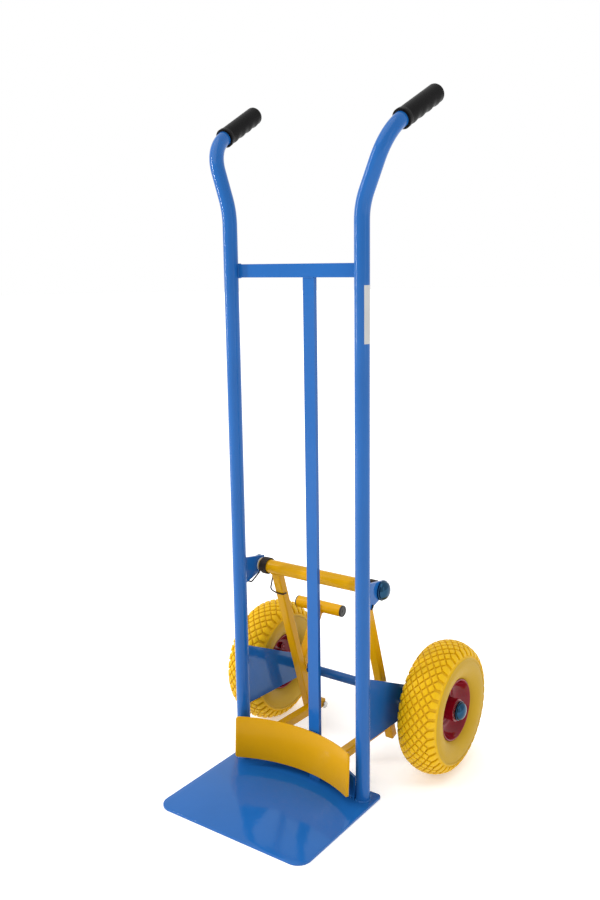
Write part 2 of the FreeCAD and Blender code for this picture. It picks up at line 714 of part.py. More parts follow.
def bent_wire(points):
    """Round wire through a list of points, as rods with a ball at each bend."""
    pieces = [rod(a, b - a, (b - a).Length, WIRE) for a, b in zip(points, points[1:])]
    pieces += [Part.makeSphere(WIRE / 2 + 0.08, point) for point in points[:-1]]
    return pieces


def by_arm(down, forward, x):
    """A point of the spring's leg: down along the arm, forward of its middle line, and at x."""
    ahead = arm_direction()
    front = vec(0, ahead.z, -ahead.y)
    return vec(0, PIVOT_Y, PIVOT_Z) + ahead * down + front * forward + X_AXIS * x


def coil_point(degrees, x):
    """A point of the coil's centre line, at an angle from the top towards the front."""
    radius = PIVOT_TUBE_OD / 2 + COIL_GAP + WIRE / 2
    angle = math.radians(degrees)
    return vec(x, PIVOT_Y - radius * math.sin(angle), PIVOT_Z + radius * math.cos(angle))


def spring(side):
    """A torsion spring: one leg lies over the arm's front, the other hooks under the bracket."""
    arm_out, arm_in = ARM_X + SQUARE / 2, ARM_INNER_X
    inner_x = arm_out + COIL_FROM_ARM
    turns = COIL_FULL_TURNS + (COIL_END_DEG - COIL_START_DEG) / 360
    outer_x = inner_x + COIL_PITCH * turns
    start, end = coil_point(COIL_START_DEG, inner_x), coil_point(COIL_END_DEG, outer_x)
    middle = vec(inner_x, PIVOT_Y, PIVOT_Z)
    helix = Part.makeHelix(COIL_PITCH, COIL_PITCH * turns, (start - middle).Length)
    helix.Placement = FreeCAD.Placement(middle, FreeCAD.Rotation(start - middle, vec(0, 0, 0), X_AXIS, "ZXY"))
    travel = X_AXIS.cross(start - middle) * (2 * math.pi) + X_AXIS * COIL_PITCH
    circle = Part.Wire([Part.makeCircle(WIRE / 2, start, travel)])
    coil = Part.Wire(helix.Edges).makePipeShell([circle], True, True)

    face = SQUARE / 2 + WIRE / 2 + 0.1
    arm_leg = [
        start,
        by_arm(LEG_DOWN_ARM - 15.5, face + 6.0, arm_out + 2.5),
        by_arm(LEG_DOWN_ARM - 4.0, face + 1.8, arm_out + 1.6),
        by_arm(LEG_DOWN_ARM, face, arm_out - 5.0),
        by_arm(LEG_DOWN_ARM, face, arm_in - WIRE / 2 - 0.1),
        by_arm(LEG_DOWN_ARM + 4.0, -1.0, arm_in - WIRE / 2 - 0.1),
    ]
    foot_run = PIVOT_BEHIND - BRACKET_HEEL
    edge_z = PIVOT_Z - BRACKET_FOOT_DROP + (BRACKET_FOOT_DROP - BRACKET_TAIL_DROP) * HOOK_BEHIND / foot_run
    hook_y, hook_z = UPRIGHT_Y + HOOK_BEHIND, edge_z - WIRE / 2 - 0.6
    hook_x = PLATE_OUTER_X + WIRE / 2 + 0.2
    hook_leg = [
        end,
        end + vec(1.0, 0.8, -9.0),
        vec(PLATE_INNER_X - 5.0, hook_y, hook_z),
        vec(hook_x, hook_y, hook_z),
        vec(hook_x, hook_y + 1.0, hook_z + 8.0),
    ]
    wire = coil.fuse(bent_wire(arm_leg) + bent_wire(hook_leg))
    return mirrored(wire) if side < 0 else wire


# ---- write every node ----

def both(name, maker):
    return {f"{word}_{name}": maker(side) for word, side in SIDES.items()}


def nodes():
    made = {}
    made.update(both("upright", upright))
    made.update(both("grip", grip))
    made.update(both("side_plate", side_plate))
    made.update(both("pivot_bracket", pivot_bracket))
    made["cross_bar"] = cross_bar()
    made["middle_bar"] = middle_bar()
    made["heel_plate"] = heel_plate()
    made["toe_plate"] = toe_plate()
    made["label"] = label()
    axle_seat = wheel_sides()[2]
    made["wheel_axle"] = shaft(axle_seat, AXLE_Y, AXLE_Z)
    made["axle_caps"] = group([domed_cap(s, axle_seat, AXLE_Y, AXLE_Z) for s in SIDES.values()])
    made["pivot_rod"] = shaft(PLATE_OUTER_X, PIVOT_Y, PIVOT_Z)
    made["pivot_caps"] = group([domed_cap(s, PLATE_OUTER_X, PIVOT_Y, PIVOT_Z) for s in SIDES.values()])
    made["wheel_spacers"] = wheel_spacers()
    made["outer_washers"] = outer_washers()
    made.update(both("tyre", tyre))
    made.update(both("rim_outer", lambda side: rim_half(side, 1)))
    made.update(both("rim_inner", lambda side: rim_half(side, -1)))
    made.update(both("hub", hub))
    made.update(both("bearings", bearings))
    made.update(both("rim_bolts", rim_bolts))
    made.update(both("rim_nuts", rim_nuts))
    made["pivot_tube"] = pivot_tube()
    made["pivot_bushes"] = pivot_bushes()
    made.update(both("arm", arm))
    made.update(both("push_bar", drilled_push_bar))
    made["pusher_plate"] = pusher_plate()
    made["bar_bolts"] = bar_bolts()
    made["bar_nuts"] = bar_nuts()
    made["pedal_bar"] = pedal_bar()
    made["pedal_end_caps"] = pedal_end_caps()
    made["pedal_stem"] = pedal_stem()
    made.update(both("spring", spring))
    return made


def main():
    os.makedirs("parts", exist_ok=True)
    for name, shape in nodes().items():
        shape.exportStep(f"parts/{name}.step")


main()
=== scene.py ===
import json
import math

import bmesh
import bpy
from mathutils import Matrix, Vector


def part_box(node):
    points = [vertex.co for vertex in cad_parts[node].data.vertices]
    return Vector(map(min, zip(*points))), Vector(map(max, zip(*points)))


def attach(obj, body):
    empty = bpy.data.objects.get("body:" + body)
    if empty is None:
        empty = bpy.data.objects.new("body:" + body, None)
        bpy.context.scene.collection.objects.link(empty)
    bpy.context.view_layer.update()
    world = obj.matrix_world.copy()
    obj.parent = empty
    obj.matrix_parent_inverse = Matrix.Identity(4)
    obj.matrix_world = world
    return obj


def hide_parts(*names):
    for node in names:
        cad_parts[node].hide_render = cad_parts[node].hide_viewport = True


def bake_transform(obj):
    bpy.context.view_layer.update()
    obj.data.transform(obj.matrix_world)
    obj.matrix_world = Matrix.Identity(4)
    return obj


bl_info = {
    "name": "Hand truck with pusher",
    "version": (1, 0, 0),
    "blender": (4, 5, 0),
    "location": "3D View > Sidebar > Hand truck",
    "description": "Dresses a two-wheeled hand truck: tyres, rims, grips, plates, springs, welds and paint",
    "category": "Add Mesh",
}

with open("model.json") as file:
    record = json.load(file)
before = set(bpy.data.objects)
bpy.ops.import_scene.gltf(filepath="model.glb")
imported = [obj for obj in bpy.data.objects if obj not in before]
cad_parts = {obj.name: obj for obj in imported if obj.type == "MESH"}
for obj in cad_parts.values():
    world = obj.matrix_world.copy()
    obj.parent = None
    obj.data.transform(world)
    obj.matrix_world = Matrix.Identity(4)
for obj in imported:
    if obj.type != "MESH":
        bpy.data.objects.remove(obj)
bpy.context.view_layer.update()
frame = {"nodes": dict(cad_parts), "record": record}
MM = 0.001
SIDES = {"left": -1.0, "right": 1.0}
X_WAY, Y_WAY, Z_WAY = Vector((1.0, 0.0, 0.0)), Vector((0.0, 1.0, 0.0)), Vector((0.0, 0.0, 1.0))

# From the toe plate's rear edge to the uprights' middle lines.
UPRIGHT_FROM_HEEL = 30.3 * MM
# How far a handle rises from level and splays outwards.
HANDLE_RISE, HANDLE_SPLAY = math.radians(26.8), math.radians(4.7)
# How far the pusher's arms and its rolled plate lean back.
ARM_LEAN_DEG, PLATE_LEAN_DEG = 17.5, 3.6
# The smallest radius of an outline that closes on its axis.
TIP = 0.01 * MM


def joint_point(name):
    for joint in frame["record"]["behaviour"]["joints"]:
        if joint["name"] == name:
            return Vector(joint["pos_m"])
    raise ValueError(f"no joint named {name}")


PIVOT = joint_point("pusher_swing")
AXLE = joint_point("right_wheel_spin")


def words(text):
    """A property's name and description, from one text with a colon between them."""
    name, description = text.split(": ", 1)
    return {"name": name, "description": description}


def size(text, default_mm, lowest, highest):
    """A length property. Its default and limits are in millimetres."""
    return bpy.props.FloatProperty(**words(text), default=default_mm * MM, min=lowest * MM, max=highest * MM,
                                   unit="LENGTH", precision=4)


def count(text, default, lowest, highest):
    return bpy.props.IntProperty(**words(text), default=default, min=lowest, max=highest)


def number(text, default, lowest, highest, unit="NONE"):
    return bpy.props.FloatProperty(**words(text), default=default, min=lowest, max=highest, unit=unit)


def tilt(text, degrees):
    return bpy.props.FloatProperty(**words(text), default=math.radians(degrees), subtype="ANGLE")


def colour(text, default):
    return bpy.props.FloatVectorProperty(**words(text), default=default, min=0.0, max=1.0, size=3,
                                         subtype="COLOR")


class TruckSizes(bpy.types.PropertyGroup):
    """Sizes of the details that are added to the frame."""

    plate_edge: size("Plate edge: rounding of the plates' edges", 0.9, 0.2, 2.0)
    weld_bead: size("Weld bead: radius of a weld's bead", 2.3, 1.0, 4.0)
    weld_ripple: size("Weld ripple: distance between two ripples of a weld", 2.2, 1.0, 4.0)
    tread_depth: size("Tread depth: height of the tyre's blocks", 3.2, 1.0, 5.0)
    block_gap: size("Block gap: groove between two tread blocks", 3.4, 1.0, 5.0)
    tread_repeats: count("Tread repeats: repeats of the tread round the tyre", 40, 24, 64)
    finger_swell: size("Finger swell: height of the grip's finger rests", 1.6, 0.0, 4.0)
    finger_rests: count("Finger rests: number of swells under a grip", 4, 0, 6)
    fastener_chamfer: size("Fastener chamfer: chamfer of bolt heads and nuts", 0.8, 0.2, 1.5)


class TruckColours(bpy.types.PropertyGroup):
    """Colours of the truck's paints and materials."""

    frame_blue: colour("Frame blue: enamel of the frame", (0.011, 0.106, 0.355))
    pusher_yellow: colour("Pusher yellow: enamel of the pusher", (0.600, 0.300, 0.000))
    tyre_yellow: colour("Tyre yellow: solid foam of the tyres", (0.730, 0.430, 0.000))
    # painted shade: the sidewalls' yellow is darker than the tread's, for the shade on faces turned from the
    # light
    shaded_wall_yellow: colour("Tyre wall: the smooth, duller foam of the sidewalls", (0.480, 0.290, 0.006))
    rim_red: colour("Rim red: enamel of the rims", (0.230, 0.003, 0.012))
    grip_black: colour("Grip black: rubber of the grips", (0.004, 0.0038, 0.004))
    cap_blue: colour("Cap blue: blue plating of the push-on caps", (0.022, 0.070, 0.130))
    zinc: colour("Zinc: plating of bolts, nuts and washers", (0.52, 0.52, 0.50))
    spring_black: colour("Spring black: oiled spring steel", (0.024, 0.020, 0.018))
    bush_white: colour("Bush white: nylon of the bushes", (0.62, 0.60, 0.54))
    label_grey: colour("Label grey: printed film on the right upright", (0.46, 0.46, 0.45))


class StudioSettings(bpy.types.PropertyGroup):
    """Camera and light of the studio."""

    lens: number("Lens: focal length in millimetres", 37.728, 10.0, 200.0)
    camera_place: bpy.props.FloatVectorProperty(
        **words("Camera place: where the camera stands"), default=(0.98807, -1.41101, 0.99563), size=3,
        subtype="TRANSLATION", unit="LENGTH")
    camera_turn: tilt("Camera turn: turn to the left of +Y", 35.65)
    camera_pitch: tilt("Camera pitch: look down below level", 11.388)
    camera_roll: tilt("Camera roll: roll about the view", -0.852)
    room_light: number("Room light: strength of the white backdrop", 1.0, 0.0, 5.0)
    dim_side: number("Dim side: brightness of the room behind the camera", 0.8, 0.0, 1.0)
    sky_light: number("Sky light: strength of the broad light overhead", 1.0, 0.0, 10.0)
    strip_light: number("Strip light: power of the tall light on the left", 55.0, 0.0, 2000.0, "POWER")
    fill_light: number("Fill light: power of the light on the right", 5.0, 0.0, 2000.0, "POWER")


def sizes():
    return bpy.context.scene.truck_sizes


def colours():
    return bpy.context.scene.truck_colours


# ---- materials ----

class Signal:
    """A node's output, on which + - * ** and abs add Math nodes."""

    def __init__(self, board, socket):
        self.board = board
        self.socket = socket

    def maths(self, operation, first, second):
        return self.board.node("Math", {"operation": operation}, {0: first, 1: second})

    def __add__(self, other):
        return self.maths("ADD", self, other)

    def __sub__(self, other):
        return self.maths("SUBTRACT", self, other)

    def __rsub__(self, other):
        return self.maths("SUBTRACT", other, self)

    def __mul__(self, other):
        return self.maths("MULTIPLY", self, other)

    def __pow__(self, other):
        return self.maths("POWER", self, other)

    def __abs__(self):
        return self.maths("ABSOLUTE", self, 0.0)

    __radd__ = __add__
    __rmul__ = __mul__


class Board:
    """A node tree, with one way to add any node."""

    def __init__(self, tree):
        self.tree = tree

    def node(self, kind, settings=None, inputs=None, output=0):
        made = self.tree.nodes.new("ShaderNode" + kind)
        for key, value in (settings or {}).items():
            if key == "stops":
                self.set_stops(made.color_ramp, value)
            else:
                setattr(made, key, value)
        for key, value in (inputs or {}).items():
            if isinstance(value, Signal):
                self.tree.links.new(value.socket, made.inputs[key])
            else:
                made.inputs[key].default_value = value
        return Signal(self, made.outputs[output])

    @staticmethod
    def set_stops(ramp, stops):
        while len(ramp.elements) < len(stops):
            ramp.elements.new(1.0)
        for element, (place, tint) in zip(ramp.elements, stops):
            element.position = place
            element.color = (*tint, 1.0) if len(tint) == 3 else tint

    def place(self, kind="Object"):
        return self.node("TexCoord", output=kind)

    def noise(self, scale, detail=3.0, roughness=0.5, stretch=None):
        """Cloudy noise from 0 to 1, at so many lumps a metre."""
        where = self.place()
        if stretch:
            where = self.node("Mapping", inputs={"Vector": where, "Scale": stretch})
        return self.node("TexNoise", {"noise_dimensions": "3D"},
                         {"Vector": where, "Scale": scale, "Detail": detail, "Roughness": roughness})

    def step(self, signal, low, high):
        """0 below low, 1 above high and smooth between."""
        return self.node("MapRange", {"interpolation_type": "SMOOTHSTEP"},
                         {"Value": signal, "From Min": low, "From Max": high})

    def mix(self, factor, first, second):
        return self.node("Mix", {"data_type": "RGBA"}, {"Factor": factor, "A": first, "B": second},
                         output="Result")

    def bump(self, height, distance, strength=1.0, under=None):
        inputs = {"Height": height, "Distance": distance, "Strength": strength}
        if under:
            inputs["Normal"] = under
        return self.node("Bump", inputs=inputs)

    def shade(self, **inputs):
        """Closes the tree with a Principled shader. A name's _ stands for a space."""
        named = {key.replace("_", " "): value for key, value in inputs.items()}
        self.close(self.node("BsdfPrincipled", inputs=named))

    def close(self, shader, kind="Material"):
        out = self.tree.nodes.new("ShaderNodeOutput" + kind)
        self.tree.links.new(shader.socket, out.inputs["Surface"])


def new_material(name):
    """An empty material and the board of its node tree."""
    material = bpy.data.materials.new(name)
    material.use_nodes = True
    material.node_tree.nodes.clear()
    return material, Board(material.node_tree)


def tint(rgb, factor):
    """An RGBA colour, made lighter or darker by one factor or by one for each channel."""
    factors = factor if isinstance(factor, tuple) else (factor, factor, factor)
    return (*[min(1.0, part * by) for part, by in zip(rgb, factors)], 1.0)


def enamel(name, rgb, gloss=0.08, sheen=0.25):
    """Gloss enamel: slight orange peel, uneven thickness, fine dust marks and a few dull scuffs."""
    material, board = new_material(name)
    clouds = board.noise(9.0, 4.0)
    peel = board.noise(420.0, 2.0)
    waves = board.noise(60.0, 2.0)
    scuffs = board.step(board.noise(34.0, 8.0, 0.72, (1.0, 1.0, 0.25)), 0.66, 0.74)
    specks = board.step(board.noise(900.0, 1.0), 0.74, 0.80)
    paint = board.mix(clouds, tint(rgb, 0.90), tint(rgb, 1.10))
    worn = board.mix(scuffs * 0.30, paint, tint(rgb, 0.72))
    surface = board.mix(specks * 0.06, worn, (0.45, 0.45, 0.45, 1.0))
    normal = board.bump(peel, 0.00025, 0.22, board.bump(waves, 0.0012, 0.16))
    roughness = clouds * 0.05 + (scuffs * 0.18 + (gloss - 0.02))
    board.shade(Base_Color=surface, Roughness=roughness, Normal=normal, Specular_IOR_Level=sheen)
    return material


def foam(name, rgb, wall):
    """Solid foam rubber: pores, a mottled skin, sidewalls darkened as painted shade, and painted shade down
    in the tread's grooves.
    """
    material, board = new_material(name)
    clouds = board.noise(16.0, 5.0, 0.6)
    grain = board.noise(700.0, 3.0, 0.7)
    pores = board.step(board.node("TexVoronoi", {"feature": "F1"}, {"Vector": board.place(), "Scale": 520.0},
                                  output="Distance"), 0.10, 0.30)
    radius, below = below_the_tread(board)
    tread = board.mix(clouds, tint(rgb, 0.90), tint(rgb, 1.08))
    mottled = board.mix(board.step(grain, 0.56, 0.72) * 0.30, tread, tint(rgb, (0.90, 0.648, 0.90)))
    # painted shade: the foam darkens and turns browner with depth down in the tread's grooves
    groove_painted_shade = board.mix(board.step(below, 0.9 * MM, 3.0 * MM) * 0.32, mottled, tint(rgb, (0.62, 0.52, 1.0)))
    # painted shade: the sidewalls take the darker wall colour
    smooth = board.mix(clouds, tint(wall, 0.88), tint(wall, 1.10))
    wall_top, tread_foot = 102.6 * MM, 106.5 * MM
    skin = board.mix(board.step(radius, wall_top, tread_foot), smooth, groove_painted_shade)
    normal = board.bump(pores, 0.0002, 0.30, board.bump(grain, 0.0004, 0.35))
    board.shade(Base_Color=skin, Roughness=clouds * 0.12 + 0.42, Normal=normal, Specular_IOR_Level=0.2)
    return material


def below_the_tread(board):
    """The distance from the axle, and how deep a place is under the crown and shoulders of its tyre."""
    parts = {way: board.node("SeparateXYZ", inputs={"Vector": board.place()}, output=way) for way in "XYZ"}
    across = abs(abs(parts["X"]) - AXLE.x)
    radius = ((parts["Y"] - AXLE.y) ** 2.0 + (parts["Z"] - AXLE.z) ** 2.0) ** 0.5
    crown_half, crown_drop, round_radius = 29.0 * MM, 8.5 * MM, 25.0 * MM
    crown_radius = (crown_half ** 2 + crown_drop ** 2) / (2 * crown_drop)
    lean = math.asin(crown_half / crown_radius)
    reach = crown_radius - round_radius
    centre_x, centre_r = reach * math.sin(lean), AXLE.z - crown_radius + reach * math.cos(lean)
    crown_depth = (radius - AXLE.z + across ** 2.0 * (crown_drop / crown_half ** 2)) * -1.0
    shoulder_depth = round_radius - ((across - centre_x) ** 2.0 + (radius - centre_r) ** 2.0) ** 0.5
    past_crown = board.step(across, crown_half - 0.5 * MM, crown_half + 0.5 * MM)
    return radius, crown_depth * (1.0 - past_crown) + shoulder_depth * past_crown


def cloudy(name, rgb, clouds, grain, tints, roughness, relief, **looks):
    """Cloudy colour with a fine grain. roughness is its spread over the clouds and its lowest value."""
    material, board = new_material(name)
    cloud = board.noise(*clouds)
    skin = board.mix(cloud, tint(rgb, tints[0]), tint(rgb, tints[1]))
    board.shade(Base_Color=skin, Roughness=cloud * roughness[0] + roughness[1],
                Normal=board.bump(board.noise(*grain), *relief), **looks)
    return material


def rubber(name, rgb):
    """Moulded black rubber, satin where hands polish it."""
    return cloudy(name, rgb, (30.0, 4.0), (1300.0, 2.0), (0.8, 1.5), (0.14, 0.30), (0.0003, 0.22),
                  Specular_IOR_Level=0.06)


def plated(name, rgb, dullness=0.26):
    """Bright plating with a faint grain and cloudy bloom."""
    return cloudy(name, rgb, (70.0, 4.0), (1500.0, 2.0, 0.6, (1.0, 0.2, 1.0)), (0.75, 1.2),
                  (0.16, dullness - 0.08), (0.0002, 0.20), Metallic=1.0)


def plastic(name, rgb):
    return cloudy(name, rgb, (25.0, 3.0), (900.0, 2.0), (0.85, 1.15), (0.1, 0.36), (0.0002, 0.25))


def oiled_steel(name, rgb):
    return cloudy(name, rgb, (150.0, 4.0), (150.0, 4.0), (0.7, (2.2, 1.7, 1.3)), (0.2, 0.34), (0.0003, 0.2),
                  Metallic=0.6)


FINISHES = {
    "blue_enamel": lambda: enamel("blue_enamel", colours().frame_blue),
    # painted shade: the axle tube gets the frame's blue enamel darkened to 0.8
    "axle_blue": lambda: enamel("axle_blue", [part * 0.8 for part in colours().frame_blue]),
    "yellow_enamel": lambda: enamel("yellow_enamel", colours().pusher_yellow, 0.20, 0.14),
    "red_enamel": lambda: enamel("red_enamel", colours().rim_red, 0.08, 0.3),
    "zinc_plate": lambda: plated("zinc_plate", colours().zinc),
    "cap_blue_zinc": lambda: plated("cap_blue_zinc", colours().cap_blue, 0.16),
    "grip_rubber": lambda: rubber("grip_rubber", colours().grip_black),
    "tyre_foam": lambda: foam("tyre_foam", colours().tyre_yellow, colours().shaded_wall_yellow),
    "spring_black": lambda: oiled_steel("spring_black", colours().spring_black),
    "black_plastic": lambda: plastic("black_plastic", [0.012, 0.012, 0.012]),
    "nylon": lambda: plastic("nylon", colours().bush_white),
    "label_paper": lambda: plastic("label_paper", colours().label_grey),
}
MADE = {}


def finish_of(slot):
    """The material of a slot of the record, made when it is first asked for."""
    if slot not in MADE:
        MADE[slot] = FINISHES[slot]()
    return MADE[slot]


# ---- modelling helpers ----

def deselect():
    if bpy.context.object and bpy.context.object.mode != "OBJECT":
        bpy.ops.object.mode_set(mode="OBJECT")
    bpy.ops.object.select_all(action="DESELECT")


def take(obj):
    """Makes obj the only selected object, and the active one."""
    deselect()
    obj.select_set(True)
    bpy.context.view_layer.objects.active = obj
    return obj


def edit(obj, mode="VERT"):
    take(obj)
    bpy.ops.object.mode_set(mode="EDIT")
    bpy.ops.mesh.select_mode(type=mode)
    bpy.ops.mesh.select_all(action="DESELECT")


def choose(obj, kind, test):
    """Selects the verts, edges or faces of obj that pass the test, and stays in edit mode."""
    edit(obj, {"verts": "VERT", "edges": "EDGE", "faces": "FACE"}[kind])
    mesh = bmesh.from_edit_mesh(obj.data)
    for item in getattr(mesh, kind):
        item.select_set(bool(test(item)))
    mesh.select_flush_mode()
    bmesh.update_edit_mesh(obj.data)


def apply_transform():
    bpy.ops.object.transform_apply(location=True, rotation=True, scale=True)


def outward(obj):
    """Turns every face of obj outwards."""
    edit(obj)
    bpy.ops.mesh.select_all(action="SELECT")
    bpy.ops.mesh.normals_make_consistent(inside=False)
    bpy.ops.object.mode_set(mode="OBJECT")


def middle(edge):
    return (edge.verts[0].co + edge.verts[1].co) / 2


def runs_along(edge, axis):
    return abs((edge.verts[1].co - edge.verts[0].co).normalized()[axis]) > 0.999


def bevel(obj, test, offset, segments=3):
    choose(obj, "edges", test)
    bpy.ops.mesh.bevel(offset=offset, segments=segments, profile=0.5, affect="EDGES")
    bpy.ops.object.mode_set(mode="OBJECT")


def block(name, low, high):
    """A box from its lowest to its highest corner."""
    low, high = Vector(low), Vector(high)
    deselect()
    bpy.ops.mesh.primitive_cube_add(size=1.0, location=(low + high) / 2, scale=high - low)
    apply_transform()
    bpy.context.object.name = name
    return bpy.context.object


def turned(name, profile, steps=96):
    """Turns a closed outline of (x, radius) points round the X axis."""
    deselect()
    bpy.ops.mesh.primitive_plane_add(size=0.001)
    obj = bpy.context.object
    obj.name = name
    bpy.ops.object.mode_set(mode="EDIT")
    bpy.ops.mesh.select_mode(type="VERT")
    bpy.ops.mesh.select_all(action="SELECT")
    bpy.ops.mesh.merge(type="CENTER")
    x, radius = profile[0]
    bpy.ops.transform.translate(value=(x, 0.0, radius))
    for next_x, next_radius in list(profile[1:]) + [profile[0]]:
        step = (next_x - x, 0.0, next_radius - radius)
        bpy.ops.mesh.extrude_region_move(TRANSFORM_OT_translate={"value": step})
        x, radius = next_x, next_radius
    bpy.ops.mesh.select_all(action="SELECT")
    bpy.ops.mesh.remove_doubles(threshold=1e-6)
    bpy.ops.mesh.select_all(action="SELECT")
    bpy.ops.mesh.spin(steps=steps, angle=math.tau, center=(0.0, 0.0, 0.0), axis=(1.0, 0.0, 0.0))
    bpy.ops.mesh.select_all(action="SELECT")
    bpy.ops.mesh.remove_doubles(threshold=2e-6)
    bpy.ops.mesh.normals_make_consistent(inside=False)
    bpy.ops.object.mode_set(mode="OBJECT")
    return obj


def arc(centre, radius, start_deg, end_deg, points):
    """(x, radius) points on an arc. Angles are from +X towards a larger radius."""
    made = []
    for i in range(points + 1):
        angle = math.radians(start_deg + (end_deg - start_deg) * i / points)
        made.append((centre[0] + radius * math.cos(angle), centre[1] + radius * math.sin(angle)))
    return made


def put(obj, matrix):
    """Moves obj by a matrix and fixes the move in its mesh."""
    obj.data.transform(matrix)
    if matrix.determinant() < 0:
        outward(obj)
    return obj


def copy_of(obj, name):
    twin = obj.copy()
    twin.data = obj.data.copy()
    twin.name = name
    bpy.context.collection.objects.link(twin)
    return twin


def joined(name, objects):
    deselect()
    for obj in objects:
        obj.select_set(True)
    bpy.context.view_layer.objects.active = objects[0]
    bpy.ops.object.join()
    bpy.context.object.name = name
    return bpy.context.object


def settle(obj, body, slot, nodes=(), smooth_deg=40.0):
    """Dresses a finished piece and ties it to its body."""
    take(obj)
    apply_transform()
    bpy.ops.object.shade_smooth_by_angle(angle=math.radians(smooth_deg))
    obj.data.name = obj.name
    obj.data.materials.clear()
    obj.data.materials.append(finish_of(slot))
    if nodes:
        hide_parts(*nodes)
    if body:
        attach(obj, body)
    return obj


def wire(name, points, radius, ripple=None, cyclic=False, roundness=2):
    """A round wire along points, as a mesh. ripple gives the points' shares of the radius in turn."""
    deselect()
    bpy.ops.curve.primitive_nurbs_path_add()
    obj = bpy.context.object
    obj.name = name
    obj.data.splines.clear()
    spline = obj.data.splines.new("POLY")
    spline.points.add(len(points) - 1)
    for i, (point, place) in enumerate(zip(spline.points, points)):
        point.co = (*place, 1.0)
        point.radius = ripple[i % len(ripple)] if ripple else 1.0
    spline.use_cyclic_u = cyclic
    obj.data.bevel_depth = radius
    obj.data.bevel_resolution = roundness
    obj.data.use_fill_caps = not cyclic
    take(obj)
    bpy.ops.object.convert(target="MESH")
    apply_transform()
    return bpy.context.object


def at(place, facing):
    """Carries a piece made on the X axis to a place. Facing -1 mirrors it in X."""
    return Matrix.Translation(place) @ Matrix.Scale(facing, 4, X_WAY)


def turned_to_axle(side):
    return at((side * AXLE.x, AXLE.y, AXLE.z), side)


# ---- operators ----

class PieceOperator(bpy.types.Operator):
    """Shared settings of the operators that make pieces."""

    bl_options = {"REGISTER", "UNDO"}


class TRUCK_OT_paint_frame(PieceOperator):
    """Gives every CAD node that stays its own finish"""

    bl_idname = "truck.paint_frame"
    bl_label = "Paint the frame"

    def execute(self, context):
        for entry in frame["record"]["subparts"]:
            node = frame["nodes"][entry["node"]]
            if node.hide_render:
                continue
            node.data.materials.clear()
            node.data.materials.append(finish_of(entry["material_slot"]))
        return {"FINISHED"}


class TRUCK_OT_toe_plate(PieceOperator):
    """Models the toe plate with its round corners and eased edges"""

    bl_idname = "truck.toe_plate"
    bl_label = "Toe plate"

    front_round: size("Front corners: radius of the two front corners", 27.0, 5.0, 60.0)
    rear_round: size("Rear corners: radius of the two rear corners", 9.0, 2.0, 30.0)

    def execute(self, context):
        low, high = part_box("toe_plate")
        plate = block("toe_plate_steel", low, high)
        bevel(plate, lambda e: runs_along(e, 2) and middle(e).y < -0.1, self.front_round, 14)
        bevel(plate, lambda e: runs_along(e, 2) and middle(e).y > high.y - 1e-4, self.rear_round, 6)
        edge = sizes().plate_edge
        bevel(plate, lambda e: not runs_along(e, 2), edge, 3)
        settle(plate, "frame", "blue_enamel", ["toe_plate"])
        return {"FINISHED"}


class TRUCK_OT_pusher_plate(PieceOperator):
    """Models the rolled pusher plate with its round corners and eased edges"""

    bl_idname = "truck.pusher_plate"
    bl_label = "Pusher plate"

    roll_radius: size("Roll radius: front face of the rolled sheet", 255.0, 100.0, 600.0)
    sheet: size("Sheet: thickness of the rolled sheet", 4.0, 1.0, 10.0)
    height: size("Height: width of the rolled sheet", 85.0, 40.0, 160.0)
    lean: tilt("Lean: how far the top leans back", PLATE_LEAN_DEG)
    corner: size("Corner: radius of the four corners", 6.0, 1.0, 20.0)

    def execute(self, context):
        low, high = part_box("pusher_plate")
        half_angle = math.asin(high.x / (self.roll_radius + self.sheet))
        deselect()
        bpy.ops.mesh.primitive_cube_add(size=1.0, location=(0.0, -self.sheet / 2, 0.0),
                                        scale=(1.0, self.sheet, self.height))
        plate = bpy.context.object
        plate.name = "pusher_plate_steel"
        apply_transform()
        half = self.roll_radius * half_angle
        plate.data.transform(Matrix.Scale(2 * half, 4, X_WAY))
        bevel(plate, lambda e: runs_along(e, 1), self.corner, 6)
        bevel(plate, lambda e: not runs_along(e, 1), sizes().plate_edge, 2)
        self.cut_across(plate, half)
        self.roll(plate)
        put(plate, Matrix.Rotation(-self.lean, 4, "X"))
        centre = Vector((0.0, (low.y + high.y) / 2, (low.z + high.z) / 2))
        own = [Vector((0.0, *(pick(v.co[axis] for v in plate.data.vertices) for axis in (1, 2))))
               for pick in (min, max)]
        put(plate, Matrix.Translation(centre - (own[0] + own[1]) / 2))
        settle(plate, "pusher", "yellow_enamel", ["pusher_plate"])
        return {"FINISHED"}

    def cut_across(self, plate, half):
        cuts = 48
        edit(plate)
        for i in range(1, cuts):
            bpy.ops.mesh.select_all(action="SELECT")
            bpy.ops.mesh.bisect(plane_co=(half * (2 * i / cuts - 1), 0.0, 0.0), plane_no=(1.0, 0.0, 0.0))
        bpy.ops.object.mode_set(mode="OBJECT")

    def roll(self, plate):
        """Rolls the flat sheet round an upright line in front of it."""
        for vertex in plate.data.vertices:
            angle = vertex.co.x / self.roll_radius
            reach = self.roll_radius + self.sheet + vertex.co.y
            vertex.co.x = reach * math.sin(angle)
            vertex.co.y = reach * math.cos(angle) - self.roll_radius


